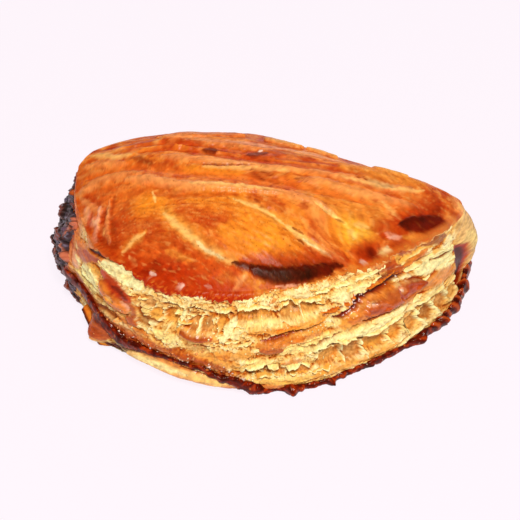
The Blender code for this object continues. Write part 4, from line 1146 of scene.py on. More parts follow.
def wall_surface(angle, share, dough=DOUGH["crumb"]):
    """The wall's dense outer surface: radius, height, paint, roughness, gloss, and where it is calm. Its
    relief is the leaves, the hollows and swellings, the strokes, and noise stretched along the leaves."""
    front = front_mask(angle)
    a = from_fold(angle) * DEGREE_LONG
    tall = through_stations(angle, 3)
    z = share * tall
    turn = np.radians(angle)
    place = (MEAN_RADIUS * np.cos(turn), MEAN_RADIUS * np.sin(turn), z)
    layer = layer_height(angle, z)
    step = (layer / LEAF_PITCH) % 1
    edge = np.where(step < 0.8, step / 0.8, (1 - step) / 0.2) - 0.5
    ragged = 0.75 + 0.6 * ripple(place, LEAF_TEAR, SOLID_SEED + 1)
    sheets = grain((a, layer), (10.0, 2.4), 111, 3)
    torn = grain((a, layer), (4.0, 1.6), 112, 3)
    crumb = grain((a, z), (1.1, 0.8), 113, 2)
    toast = grain((a, z), (8, 3.6), 115, 3)
    warp = 2.4 * grain((a, layer), 5.0, 121, 3)
    bend = 1.6 * grain((a, layer), 3.6, 123, 3)
    _, border, number = cells((a + warp) / 6.6, (layer + bend) / 4.4, 122)
    pocket = pocketed(angle, share)
    rims, bowls = bell(border, 0.10) * pocket, ease(border / 0.4 - 0.2) * pocket
    cracks = bell(grain((a, layer), (5.0, 1.8), 124, 2), 0.07) * ease(grain((a, z), 6, 125, 2) * 2.2 + 0.3)
    fibres = bell(grain((a + 0.8 * layer, layer - 0.3 * a), (3.6, 1.5), 126, 2), 0.07)

    relief = 0.34 * LEAF_DEPTH * ragged * edge + 0.8 * sheets + 0.35 * torn
    relief = relief * (1 - 0.5 * pocket) + 0.25 * rims - (0.1 + 0.8 * number) * bowls
    relief = relief - 0.45 * cracks + 0.16 * fibres * (1 - pocket)
    high = (0.35 * edge + 0.9 * sheets) * (1 - 0.5 * pocket) + 0.45 * torn + 0.5 * rims - 0.2 * bowls
    # painted shade: custard and caramel where the leaves lie low; painted highlight: milk where they stand
    # high, and the ivory fibres brightest there; honey, skin and beige are the dough's own colours
    paint = coated(
        plain_coat(dough, share),
        ("custard_shade", ease(-high * 1.5 + 0.1) * 0.8),
        ("caramel_shade", ease(-high * 1.7 - 0.45) * 0.8),
        ("milk_highlight", ease(high * 1.8 - 0.1) * 0.85),
        ("honey", ease(toast * 2.0 - 0.35) * 0.6),
        ("skin", bowls * ease(number * 4 - 1.6) * 0.6),
        ("beige", bowls * ease(1.6 - number * 4) * 0.7),
        ("ivory", fibres * ease(high * 2 + 0.6) * (1 - pocket) * 0.6),
        ("crack", cracks * 0.75),
    )
    gloss = np.zeros_like(share)
    calm = np.zeros_like(share)
    lay_strokes(WALL_STROKES, a, share * WALL_TALL, 300, paint, relief, gloss, calm, WALL_SCALE)
    lively = 1 - 0.8 * calm
    speck = ease(grain((a, z), (0.8, 0.5), 118, 2) * 3.0 - 1.1) * lively
    scuff = ease(grain((a, layer), (2.6, 1.0), 127, 3) * 3 - 0.9) * lively * (1 - 0.5 * pocket)
    paint = coated(paint, ("speck", speck * 0.7), ("scuff", scuff * 0.55))
    paint = shaded(paint, 0.3 * crumb * (1 - gloss))

    ends = ease(share / 0.06)
    forms = FORM_SHARE * swells(WALL_FORMS, angle, share)
    uneven = 1 + 0.25 * ripple(place, 5, SOLID_SEED + 4)
    creases = 0.5 * ripple((place[0], place[1], z * 0.4), 9, SOLID_SEED + 5)
    relief = front * ends * (relief + forms - 0.35 * speck + 0.22 * crumb * lively)
    relief = relief + uneven * swells(CORNER_FORMS, angle, z)
    relief = relief - LACE_SINK * bell(angle_gap(angle, 166), 12) * ease((0.95 - share) / 0.1)
    relief = relief + (1 - front) * ends * ease((1 - share) / 0.05) * (creases + 0.25 * sheets + 0.12 * crumb)
    relief = relief - foot_pull(angle, z)
    under = ease((share - lid_edge_share(angle) - 0.012) / 0.02)
    relief = relief * (1 - under) - 0.9 * under

    back = (1 - front) * (1 - bell(angle_gap(angle, 376), 8))
    paint = blend(paint, fold_paint(a, tall - z, share, crumb), back)
    rough = (0.66 - 0.42 * gloss) * (1 - back) + 0.42 * back
    gloss = gloss * (1 - back) + 0.12 * back
    return plain_wall(angle, share)[0] + relief, z, paint, rough, gloss, calm


WALL_ROWS = 170
WALL_DEPTH = 6.0
HOLLOW_DEPTH = 0.8
HOLLOW_REACHES = (20, 9, 4)  # grid points over which a spot is compared with what lies round it
# painted shade: the tint laid on what lies deep
HOLLOW_SHADE_TINT = np.array((0.80, 0.56, 0.30))  # what the paint is multiplied by where it lies deep
FOOT_PULL, FOOT_PULL_HIGH = 5.4, 5.0
FOOT_PULL_MIDDLE, FOOT_PULL_WIDE = 229, 22
WALL_PARTS = (
    # name, first angle, last angle, columns
    ("wall_left", 168.0, 268.0, 420),
    ("wall_right", 266.0, 392.0, 500),
    ("fold_crust", -20.0, 178.0, 420),
)


def foot_pull(angle, z):
    """How far the foot draws in under the pale lip at the front left."""
    along = bell(angle_gap(angle, FOOT_PULL_MIDDLE), FOOT_PULL_WIDE)
    return FOOT_PULL * along * np.clip(1 - z / FOOT_PULL_HIGH, 0, 1)


def wall_piece(start, stop, columns, dough):
    """A stretch of the wall between two angles: its outer surface and a plain inner one, closed all round.
    What lies deep is tinted darker, and what stands proud of the torn front lighter."""
    angle = np.linspace(start, stop, columns)[:, None] + np.zeros((1, WALL_ROWS))
    share = np.zeros((columns, 1)) + np.linspace(0, 1, WALL_ROWS)[None, :]
    radius, z, paint, rough, gloss, calm = wall_surface(angle, share, dough)
    plain = plain_wall(angle, share)[0]
    relief = radius - plain
    front = front_mask(angle)
    # painted shade tints what lies deep; a cream painted highlight lightens what stands proud of the torn
    # front
    for half in HOLLOW_REACHES:
        sunk = box_mean(relief, half) - relief
        paint = blend(paint, paint * HOLLOW_SHADE_TINT, ease(sunk / HOLLOW_DEPTH) * (1 - 0.5 * calm))
        paint = coated(paint, ("cream", ease(-sunk / HOLLOW_DEPTH - 0.25) * 0.5 * front * (1 - calm)))
    inner = plain[:, -1:] - WALL_DEPTH
    tall = z[:, -1:]
    radius = np.concatenate((radius, radius[:, -1:] - 1.5, inner, inner, plain[:, :1] - WALL_DEPTH), 1)
    z = np.concatenate((z, tall - 0.4, tall - 2, tall * 0.4, 0 * tall + 0.4), 1)
    angle, paint, rough, gloss = (
        np.concatenate((v, np.repeat(v[:, -1:], 4, 1)), 1) for v in (angle, paint, rough, gloss)
    )
    return tube(placed(angle, radius, z), paint, rough, gloss)


# ---------- the leaves of dough

# Torn edges of leaves that stand out of the wall: reach, thickness, droop, teeth, the colours of
# tip and body, and points (degrees, percent of the height)
LEDGES = (
    (1.1, 0.4, -0.5, 0.8, "cream", "gold", ((256, 94.5), (266, 94), (278, 94.5))),
    (1.3, 0.45, -0.4, 0.8, "cream", "pale", ((300, 91), (314, 90), (328, 89.5), (340, 89), (347, 90))),
    (1.3, 0.4, -0.8, 0.8, "cream", "gold", ((247, 84), (254, 86.5), (262, 87.5), (270, 88.5), (278, 86))),
    (1.7, 0.4, -0.7, 0.8, "cream", "gold", ((281, 85), (284, 88), (289, 89.5), (293, 87))),
    (1.4, 0.4, -0.6, 0.8, "cream", "gold", ((293, 86.5), (298, 87.5), (304, 85.5), (309, 84))),
    (1.1, 0.4, 0.3, 0.8, "cream", "gold", ((248, 60), (253, 65), (258, 67), (262, 67))),
    (1.4, 0.5, -0.2, 0.4, "amber", "orange", ((272, 62.5), (283, 65.5), (291, 66), (300, 67.5), (307, 69.5))),
    (1.2, 0.4, -0.4, 0.7, "pale", "gold", ((278, 53), (288, 53.5), (298, 54), (308, 56))),
    (1.6, 0.5, -0.5, 0.8, "cream", "pale",
     ((286, 41), (293, 43.5), (300, 46), (305, 47.5), (310, 44), (316, 42), (322, 39.5))),
    (1.5, 0.5, -0.5, 0.8, "cream", "pale",
     ((320, 39.5), (326, 38.5), (333, 41), (340, 43), (347, 42), (353, 40), (359, 37))),
    (1.4, 0.45, -0.5, 0.9, "cream", "pale",
     ((306, 47.5), (314, 48), (324, 48.5), (334, 49), (344, 48), (350, 47))),
    (1.6, 0.4, -0.6, 1, "cream", "pale", ((263, 31), (268, 33), (274, 33.5), (279, 29))),
    (1.5, 0.4, -0.6, 1, "cream", "pale", ((281, 28), (284, 29.5), (289, 31), (294, 27.5))),
    (1.2, 0.35, 0.4, 1, "cream", "gold", ((266, 20), (272, 20.5), (279, 18.5))),
    (1.1, 0.35, 0.4, 1, "cream", "gold", ((284, 20), (292, 19), (304, 18))),
    (1.5, 0.5, -0.3, 0.6, "orange", "toffee",
     ((304, 72.5), (311, 72.5), (318, 73), (325, 76.5), (333, 78), (341, 80), (349, 81.5))),
    (1.2, 0.4, -0.4, 0.9, "cream", "pale", ((303, 82), (311, 81.5), (320, 82.5), (330, 82), (337, 82.5))),
    (1.9, 0.6, -0.6, 0.7, "cream", "pale", ((350, 74), (356, 75.5), (362, 73), (367, 70), (370, 66))),
    (1.3, 0.5, -0.3, 0.7, "pale", "gold", ((349, 82), (355, 84.5), (361, 83.5), (366, 80))),
    (1.2, 0.45, -0.3, 0.8, "cream", "gold", ((352, 58), (358, 58.5), (364, 56), (368, 50))),
    (1.4, 0.4, -0.2, 0.6, "cream", "pale", ((186, 73), (191, 70), (196, 65.5))),
    (1.2, 0.35, 0.2, 0.8, "cream", "pale", ((189, 86), (193, 85), (197, 83.5), (203, 82), (208, 79))),
    (3.8, 0.8, -1.6, 0.15, "dark", "orange",
     ((187.5, 30), (190, 25), (193, 19), (196, 14), (199, 11), (202, 9))),
)
LEDGE_LOOP_DEPTH = np.array((0.0, 0.5, 0.75, 0.92, 1.0, 1.0, 0.92, 0.84, 0.7, 0.45, 0.0))
LEDGE_LOOP_SIDE = np.array((-1, -1, -1, -1, -0.6, 0.6, 1, 1, 1, 1, 1.0))
LEDGE_ROOT = 3.0
TIP_WIDE = 1.0
WHOLE = 0.3  # leaves whose teeth are smaller than this aren't broken through
LEDGE_STEP, LEDGE_LEAST_COLUMNS = 0.3, 12
LOOSE_FROM, LOOSE_TO = 188, 366  # degrees between which the loose leaves lie
LOOSE_SEED = 23


def leaf(reach, thick, droop, teeth, tip_colour, colour, points, number):
    """One leaf of dough, a strip that follows its points round the wall. Across, it goes out along its
    underside, round its torn tip and back along its top. It thins, droops and curls to a tip with teeth."""
    path = np.array(points, float) * WALL_SCALE
    long = np.hypot(*np.diff(path, axis=0).T).sum()
    path = smooth_line(path, max(int(long / LEDGE_STEP), LEDGE_LEAST_COLUMNS))
    at = path[:, 0]
    lone = 0 * at + 7.7 * number
    lift = 0.5 * grain((at, 0 * at + 11.3 * number), 3.0, 133, 3)[:, None]
    along = np.linspace(0, 1, len(path))
    taper = ease(along / 0.12) * ease((1 - along) / 0.12)
    ragged = 0.9 * grain((at, lone), (5.2, 1), 131, 3) + 0.3 * grain((at, lone), (1.1, 1), 132, 2)
    broken = np.maximum(ease(1.1 + 2.2 * grain((at, lone), (6.0, 1), 137, 2)), teeth < WHOLE)
    out = 0.8 * reach * np.clip(1 + teeth * ragged, 0.05, 2.0) * taper * broken - 1.2 * (1 - broken)

    s = LEDGE_LOOP_DEPTH[None, :] + 0 * path[:, :1]
    a = path[:, :1] + 0 * s
    angle, share = a / DEGREE_LONG, path[:, 1:] / WALL_TALL + 0 * s
    wave = grain((a, s * 3 + 5 * number), (1.6, 1.0), 134, 2)
    body = thick * (0.25 + 0.75 * np.sqrt(1 - np.clip(s, 0, 1) ** 1.5))
    radius = plain_wall(angle, share)[0] + FORM_SHARE * swells(SWELLINGS, angle, share)
    radius = radius - LEDGE_ROOT + (LEDGE_ROOT + out[:, None]) * s
    z = share * through_stations(angle, 3) + lift + droop * s**3 + 0.3 * wave * s + LEDGE_LOOP_SIDE * body
    tint = grain((a, s * 2 + 3 * number), (4.0, 1.2), 135, 3)
    paint = coated(
        plain_coat(DOUGH[colour], s),
        ("amber", ease(tint * 2.4 - 0.2) * 0.7),
        (tip_colour, ease((s - 1) * (LEDGE_ROOT + reach) / TIP_WIDE + 1.2) * ease(0.9 - tint * 1.6)),
        # brown on the underside towards the root: painted shade
        ("brown", (LEDGE_LOOP_SIDE < 0) * ease((0.93 - s) / 0.2) * 0.6),
    )
    paint = shaded(paint, 0.25 * grain((a, s * 4), (0.8, 1.0), 136, 2), 0.5, 1.4)
    return tube(placed(angle, radius, np.maximum(z, 0.1)), paint, 0.62, 0.0)


def loose_leaves(wanted):
    """Short curled leaves at random places of the wall where nothing smooth lies, from one seeded draw."""
    draw = np.random.default_rng(LOOSE_SEED)
    count = 3 * wanted
    angle, share = draw.uniform(LOOSE_FROM, LOOSE_TO, count), draw.uniform(0.42, 0.93, count)
    long, slope = draw.uniform(3.0, 10.0, count), draw.normal(0, 0.10, count)
    reach, droop = draw.uniform(0.5, 1.3, count), draw.uniform(-0.8, 0.7, count)
    free = np.flatnonzero(wall_surface(angle, share)[5] < 0.25)[:wanted]
    parts = []
    for k in free:
        turn, climb = long[k] / DEGREE_LONG, slope[k] * long[k] / WALL_TALL
        points = [(angle[k] + t * turn, 100 * (share[k] + t * climb)) for t in (-0.5, 0, 0.5)]
        colours = ("cream", "pale") if k % 3 else ("pale", "amber")
        parts.append(leaf(reach[k], 0.3, droop[k], 1.0, *colours, points, 50 + int(k)))
    return parts


# ---------- set syrup, burnt edge and base

RIM_COLUMNS, RIM_LOOP = 1500, 20
RIM_FROM, RIM_TO = 152, 384  # degrees
RIBS_FROM, RIBS_TO = 343, 382  # degrees
RIM_DROPS = (
    # angle, half angle, how far out
    (272, 2.4, 0.8),
    (284.5, 2.6, 2.2),
    (289, 1.2, 1.2),
    (303, 1.7, 2.6),
    (309, 1.4, 0.8),
    (322, 1.5, 0.8),
    (342, 1.8, 2.6),
    (351, 1.2, 1.6),
    (358, 1.4, 1.4),
    (365, 1.2, 1.2),
)
RIB_PITCH = 2.7  # degrees


def syrup_rim(thickness, syrup):
    """The set syrup: an uneven cord round the foot with drops, ribbed at the right."""
    angle = np.linspace(RIM_FROM, RIM_TO, RIM_COLUMNS)[:, None]
    loop = np.linspace(0, 2 * np.pi, RIM_LOOP, endpoint=False)[None, :]
    turned = from_fold(angle)
    a = turned * DEGREE_LONG
    wander = 0.5 * grain((a, 0 * a), (7, 1), 141, 2)
    middle = np.interp(turned, RIM[:, 0], RIM[:, 1]) + wander
    reach, girth = (np.interp(turned, RIM[:, 0], RIM[:, k]) for k in (2, 3))
    drops = sum(out * bell(angle_gap(angle, at), half) for at, half, out in RIM_DROPS)
    ribbed = ease((turned - RIBS_FROM) / 6) * ease((RIBS_TO - turned) / 5)
    ribs = ribbed * np.sin(2 * np.pi * turned / RIB_PITCH + 1.2 * wander + 0.9 * np.sin(loop))
    uneven = 1 + 0.6 * grain((a, 0 * a), (5, 1), 142, 3)
    taper = ease((angle - RIM_FROM) / 10) * ease((RIM_TO - angle) / 6)
    surface = plain_wall(angle, middle / through_stations(angle, 3))[0]
    lumps = 1 + 0.30 * grain((a, 3 * np.cos(loop), 3 * np.sin(loop)), 2.6, 143, 3) + 0.13 * ribs
    half_out = (0.5 * reach * uneven + 0.5 * drops) * taper + 0.15
    half_up = np.minimum(thickness * girth * (0.35 + 0.65 * uneven) + 0.25 * drops, middle * 0.98)
    half_up = half_up * taper + 0.15
    radius = surface + (0.35 * reach + 0.35 * drops) * taper + half_out * np.cos(loop) * lumps
    z = np.maximum(middle + half_up * np.sin(loop) * lumps, 0.02)
    tint = grain((a, z), (3.0, 1.4), 144, 3)
    paint = coated(
        plain_coat(syrup, z),
        ("treacle", ease(tint * 2.2 - 0.15) * 0.8),
        ("molasses", ease(-tint * 2.2 + 0.2) * 0.85),
        ("fudge", ease(grain((a, z), (1.8, 1.2), 145, 2) * 3 - 1.4) * 0.7),
        # on the ribs: butterscotch on the crests is partly the syrup's colour, partly painted highlight; tar
        # in the grooves partly its colour, partly painted shade; sugar specks are also painted glints
        ("butterscotch_and_highlight", ease(ribs * 1.6 - 0.35) * 0.75),
        ("tar_and_shade", ease(-ribs * 1.6 - 0.2) * 0.8),
        ("sugar_and_glint", ease(grain((a, z), (0.8, 0.6), 146, 2) * 3.4 - 2.4) * 0.8),
    )
    return tube(placed(angle, radius, z), paint, 0.4, 0.18)


LACE_COLUMNS, LACE_ROWS = 236, 200
LACE_FROM, LACE_TO = 143, 193  # degrees
LACE_DEGREE_LONG = 1.15  # millimetres for each degree
LACE_DEPTH, LACE_BACK = 4.5, 6.0  # how far into the wall it sinks outside its outline, and its back
# Its outline at the left and the right: share of the wall's height, angle
LACE_LEFT = ((0, 153), (0.3, 152), (0.6, 151), (0.95, 153))
LACE_RIGHT = ((0, 186), (0.15, 184), (0.3, 181), (0.5, 178), (0.7, 177), (0.9, 176))


def burnt_lace():
    """Syrup that boiled up the left corner and burnt: lumps and bubbles on the wall inside an uneven outline.
    The bubbles are the round tops of two sets of cells."""
    angle = np.linspace(LACE_FROM, LACE_TO, LACE_COLUMNS)[:, None] + np.zeros((1, LACE_ROWS))
    share = np.linspace(0.0, 1.0, LACE_ROWS)[None, :] + 0 * angle
    a = angle * LACE_DEGREE_LONG
    z = share * through_stations(angle, 3)
    wa = angle + 3.0 * grain((a, z), 5, 151, 3)
    ws = share + 0.08 * grain((a, z), 5, 152, 3)
    left, right = between(LACE_LEFT, ws), between(LACE_RIGHT, ws)
    inside = ease((wa - left) / 3) * ease((right - wa) / 3)
    inside = inside * ease((0.92 - ws) / 0.05) * ease((ws + 0.05) / 0.05)
    near, border, number = cells(a / 3.3 + 0.5 * grain((a, z), 4, 157, 2), z / 4.2, 153)
    small = cells(a / 1.4 + 7, z / 1.6, 154)[0]
    bubble = np.sqrt(np.clip(1 - (near / 0.8) ** 2, 0, 1)) * (0.2 + number)
    bead = np.sqrt(np.clip(1 - (small / 0.7) ** 2, 0, 1))
    proud = -1.9 + 2.3 * bubble + 0.5 * bead + 1.9 * grain((a, z), 4.5, 155, 4)
    plain = plain_wall(angle, share)[0] + swells(CORNER_FORMS, angle, z)
    radius = plain - LACE_DEPTH + (LACE_DEPTH + proud) * inside
    shade = grain((a, z), (3.5, 6), 156, 3)
    warm = ease((wa - 167) / 8 + 0.9 * grain((a, z), 5, 158, 2)) * ease((ws - 0.1) / 0.3)
    # lead patches are painted sheen and lilac on the bead tops painted glints; ash, cinder, salmon, clay,
    # umber and soot are the burnt syrup's colours
    paint = coated(
        plain_coat(DOUGH["ash"], share),
        ("lead_sheen", ease(shade * 2.6)),
        ("cinder", ease(number * 4 - 2.2) * 0.8),
        ("salmon", warm * ease(0.4 + 1.8 * shade) * 0.85),
        ("clay", ease(number * 6 - 4.9) * 0.8),
        ("umber", ease((0.34 - ws) / 0.1) * ease((wa - 160) / 6) * ease(0.6 + shade) * 0.9),
        ("soot", bell(border, 0.16) * 0.9),
        ("lilac_glint", ease(bead * 3 - 2.3) * ease(-shade * 3) * 0.5),
    )
    radius = np.concatenate((radius, plain[:, ::-1] - LACE_BACK), 1)
    angle, z, paint = (np.concatenate((values, values[:, ::-1]), 1) for values in (angle, z, paint))
    points = placed(angle, radius, np.maximum(z, 0.05))
    return tube(points, paint, 0.4, 0.35)


BASE_COLUMNS = 360
BASE_STEPS = (
    # share of the foot's radius, height: out along the underside, up the rim and back in
    (0.02, 0),
    (0.3, 0),
    (0.6, 0),
    (0.8, 0),
    (0.93, 0),
    (0.965, 0.25),
    (0.97, 0.9),
    (0.9, 1.2),
    (0.02, 1.2),
)


def underside():
    """The flat base: a thin disc just inside the wall's foot."""
    angle = np.linspace(0, 360, BASE_COLUMNS, endpoint=False)
    foot = plain_wall(angle, 0 * angle)[0] - foot_pull(angle, 0)
    loops = np.stack([placed(angle, foot * share, z) for share, z in BASE_STEPS])
    tint = grain((loops[..., 0], loops[..., 1]), 9, 161, 4)
    paint = coated(plain_coat(DOUGH["tan"], tint), ("bark", ease(0.5 + tint)))
    return tube(loops, paint, 0.7, 0.0)


# ---------- crumbs

CRUMB_SEED = 41
# the sugar-coloured bits along the lid's edge, the syrup and the seam are sugar and also stand as painted
# glints
CRUMB_PLACES = (
    # how many, spread in degrees and share, size, colour, points (degrees, share)
    (34, (2.4, 0.035), 0.5, "sugar_and_glint",
     ((198, 0.28), (206, 0.3), (216, 0.31), (228, 0.315), (240, 0.31), (252, 0.27), (262, 0.22))),
    (60, (2.4, 0.06), 0.42, "peach_and_sheen",
     ((196, 0.34), (206, 0.36), (216, 0.37), (228, 0.37), (240, 0.37), (256, 0.34))),
    (22, (1.2, 0.01), 0.75, "sugar_and_glint", ((208, 0.97), (212, 0.965), (220, 0.96), (226, 0.965))),
    (34, (1.8, 0.014), 0.6, "sugar_and_glint", ((228, 0.96), (238, 0.965), (246, 0.97), (254, 0.98))),
    (16, (1, 0.02), 0.45, "sugar_and_glint", ((318, 0.7), (326, 0.745), (336, 0.755), (346, 0.765))),
    (60, (2, 0.05), 0.34, "cream", ((262, 0.27), (276, 0.25), (290, 0.24), (304, 0.17), (330, 0.14))),
    (110, (4, 0.1), 0.34, "cream", ((210, 0.6), (240, 0.55), (270, 0.66), (300, 0.6), (330, 0.86))),
)


def crumbs(amount):
    """Loose crumbs: rough eight-sided bits scattered along paths on the wall, each of its own size."""
    corner = np.array(((1, 0, 0), (-1, 0, 0), (0, 1, 0), (0, -1, 0), (0, 0, 1), (0, 0, -1)), float)
    sides = np.array(((0, 2, 4), (2, 1, 4), (1, 3, 4), (3, 0, 4), (2, 0, 5), (1, 2, 5), (3, 1, 5), (0, 3, 5)))
    draw = np.random.default_rng(CRUMB_SEED)
    parts = []
    for full, spread, size, colour, points in CRUMB_PLACES:
        count = int(round(full * amount))
        along = np.sort(draw.uniform(0, 1, count))
        path = np.array(points, float)
        at = along * (len(path) - 1)
        angle = np.interp(at, np.arange(len(path)), path[:, 0]) + draw.normal(0, spread[0], count)
        share = np.interp(at, np.arange(len(path)), path[:, 1]) + draw.normal(0, spread[1], count)
        share = np.clip(share, 0.03, 0.99)
        middle = placed(angle, *wall_surface(angle, share)[:2])
        big = size * draw.uniform(0.5, 1.4, (count, 1, 1))
        shape = corner[None] * big * draw.uniform(0.6, 1.4, (count, 6, 1))
        shape = shape + draw.normal(0, 0.2, (count, 6, 3)) * big
        bits = (middle[:, None] + shape).reshape(-1, 3)
        bits[:, 2] = np.maximum(bits[:, 2], 0.05)
        faces = (sides[None] + 6 * np.arange(count)[:, None, None]).reshape(-1, 3)
        paint = DOUGH[colour] * draw.uniform(0.7, 1.05, (count, 1, 1)) + np.zeros((count, 6, 1))
        flat = np.zeros(count * 6)
        parts.append((bits, np.zeros((0, 4), int), faces, paint.reshape(-1, 3), flat + 0.35, flat + 0.5))
    return joined(parts)


# ---------- shader


class Wire:
    """A shader socket that can be used in sums, differences and products."""

    def __init__(self, tree, socket):
        self.tree, self.socket = tree, socket

    def node(self, kind, settings=None, values=None, out=0):
        """A new node of this type, its settings set first, then the values or wires of its sockets."""
        made = self.tree.nodes.new(kind)
        for key, value in (settings or {}).items():
            setattr(made, key, value)
        for key, value in (values or {}).items():
            if isinstance(value, Wire):
                self.tree.links.new(value.socket, made.inputs[key])
            else:
                made.inputs[key].default_value = value
        return Wire(self.tree, made.outputs[out])

    def _math(self, operation, other):
        return self.node("ShaderNodeMath", {"operation": operation}, {0: self, 1: other})

    def __add__(self, other):
        return self._math("ADD", other)

    def __mul__(self, other):
        return self._math("MULTIPLY", other)

    def __sub__(self, other):
        return self._math("SUBTRACT", other)


SHEEN_TINT = (1.0, 0.62, 0.3)  # buttery dough reflects a warm light
PORE_SCALE, PORE_DETAIL = 900.0, 4.0
PORE_DARKEST, PORE_SHADE, PORE_ROUGH = 0.83, 0.34, 0.1
FINISHES = {
    # specular level, roughness of the coat, strength of the pores
    "glazed_crust": (0.12, 0.26, 0.25),
    "torn_dough": (0.15, 0.2, 0.3),
    "thin_leaves": (0.15, 0.25, 0.3),
    "set_syrup": (0.12, 0.1, 0.3),
    "burnt_syrup": (0.2, 0.15, 0.4),
    "crumbs": (0.5, 0.1, 0.2),
}


def pastry_material(name, pore_depth):
    """Dough as painted: each piece's own paint, roughness and gloss, with fine pores."""
    specular, coat_roughness, bump = FINISHES[name]
    material = bpy.data.materials.new(name)
    material.use_nodes = True
    tree = material.node_tree
    shader = tree.nodes["Principled BSDF"]
    start = Wire(tree, shader.outputs[0])
    paint = start.node("ShaderNodeAttribute", {"attribute_name": "paint"})
    rough = start.node("ShaderNodeAttribute", {"attribute_name": "rough"}, out=2)
    gloss = start.node("ShaderNodeAttribute", {"attribute_name": "gloss"}, out=2)
    where = start.node("ShaderNodeTexCoord", out=3)
    fine = {"Vector": where, "Scale": PORE_SCALE, "Detail": PORE_DETAIL}
    pores = start.node("ShaderNodeTexNoise", {}, fine)
    shade = pores * PORE_SHADE + PORE_DARKEST
    tinted = start.node(
        "ShaderNodeMix",
        {"data_type": "RGBA", "blend_type": "MULTIPLY"},
        {0: 1.0, 6: paint, 7: start.node("ShaderNodeCombineColor", {}, {0: shade, 1: shade, 2: shade})},
        out=2,
    )
    raised = start.node("ShaderNodeBump", {}, {"Strength": bump, "Distance": pore_depth, "Height": pores})
    tree.links.new(tinted.socket, shader.inputs["Base Color"])
    tree.links.new((rough + (pores - 0.5) * PORE_ROUGH).socket, shader.inputs["Roughness"])
    tree.links.new(gloss.socket, shader.inputs["Coat Weight"])
    tree.links.new(raised.socket, shader.inputs["Normal"])
    shader.inputs["Specular IOR Level"].default_value = specular
    shader.inputs["Specular Tint"].default_value = (*SHEEN_TINT, 1.0)
    shader.inputs["Coat Roughness"].default_value = coat_roughness
    return material


# ---------- what a user can change


class TurnoverSizes(bpy.types.PropertyGroup):
    """Sizes of the turnover's finish."""

    lip: bpy.props.FloatProperty(
        name="Lid's lip",
        description="How far the lid's edge stands out of the wall",
        default=0.0009,
        unit="LENGTH",
    )
    pores: bpy.props.FloatProperty(
        name="Pore depth", description="Depth of the finest pores in the crust", default=0.0004, unit="LENGTH"
    )
    syrup: bpy.props.FloatProperty(
        name="Syrup", description="Thickness of the set syrup, 1 for the usual", default=1.0, min=0.2, max=2.0
    )
    leaves: bpy.props.IntProperty(name="Loose leaves", description="Short curled leaves", default=16, min=1)
    crumbs: bpy.props.FloatProperty(
        name="Crumbs", description="Amount of crumbs, 1 for the usual", default=1.0, min=0.1
    )


def colour_property(name, description, default):
    """A colour that the user can change."""
    return bpy.props.FloatVectorProperty(
        name=name, description=description, default=tuple(default), subtype="COLOR", size=3, min=0, max=1
    )


class TurnoverColours(bpy.types.PropertyGroup):
    """Colours of the turnover and its floor."""

    crust: colour_property("Crust", "Baked and glazed lid", DOUGH["crust"])
    dough: colour_property("Dough", "Torn leaves at the front", DOUGH["crumb"])
    syrup: colour_property("Syrup", "Set syrup round the foot", DOUGH["syrup"])
    floor: colour_property("Floor", "Paper under the turnover", (1.0, 0.925, 0.985))


# ---------- operators


class TURNOVER_OT_lid(bpy.types.Operator):
    """Make the glazed lid"""

    bl_idname = "turnover.lid"
    bl_label = "Lid crust"

    def execute(self, context):
        sizes, colours = context.scene.turnover_sizes, context.scene.turnover_colours
        crust = pastry_material("glazed_crust", sizes.pores)
        lid = make_piece("lid_crust", crust, *lid_piece(sizes.lip / MM, tuple(colours.crust)))
        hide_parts("turnover")
        return {"FINISHED"}


class TURNOVER_OT_wall(bpy.types.Operator):
    """Make the flaky front wall, the rounded fold at the back and the flat base"""

    bl_idname = "turnover.wall"
    bl_label = "Wall, fold and base"

    def execute(self, context):
        torn = pastry_material("torn_dough", context.scene.turnover_sizes.pores)
        dough = tuple(context.scene.turnover_colours.dough)
        for name, start, stop, columns in WALL_PARTS:
            make_piece(name, torn, *wall_piece(start, stop, columns, dough))
        make_piece("underside", torn, *underside())
        return {"FINISHED"}


class TURNOVER_OT_leaves(bpy.types.Operator):
    """Make the thin leaves of dough that stand out of the wall"""

    bl_idname = "turnover.leaves"
    bl_label = "Leaves"

    def execute(self, context):
        sizes = context.scene.turnover_sizes
        thin = pastry_material("thin_leaves", sizes.pores)
        make_piece("leaf_edges", thin, *joined([leaf(*row, number) for number, row in enumerate(LEDGES)]))
        make_piece("loose_leaves", thin, *joined(loose_leaves(sizes.leaves)))
        return {"FINISHED"}


class TURNOVER_OT_syrup(bpy.types.Operator):
    """Make the set syrup round the foot and the burnt edge"""

    bl_idname = "turnover.syrup"
    bl_label = "Syrup and burnt edge"

    def execute(self, context):
        sizes, colours = context.scene.turnover_sizes, context.scene.turnover_colours
        set_syrup = pastry_material("set_syrup", sizes.pores)
        make_piece("syrup_rim", set_syrup, *syrup_rim(sizes.syrup, tuple(colours.syrup)))
        make_piece("burnt_lace", pastry_material("burnt_syrup", sizes.pores), *burnt_lace())
        return {"FINISHED"}


class TURNOVER_OT_crumbs(bpy.types.Operator):
    """Scatter the crumbs"""

    bl_idname = "turnover.crumbs"
    bl_label = "Crumbs"

    def execute(self, context):
        sizes = context.scene.turnover_sizes
        make_piece("crumbs", pastry_material("crumbs", sizes.pores), *crumbs(sizes.crumbs))
        return {"FINISHED"}


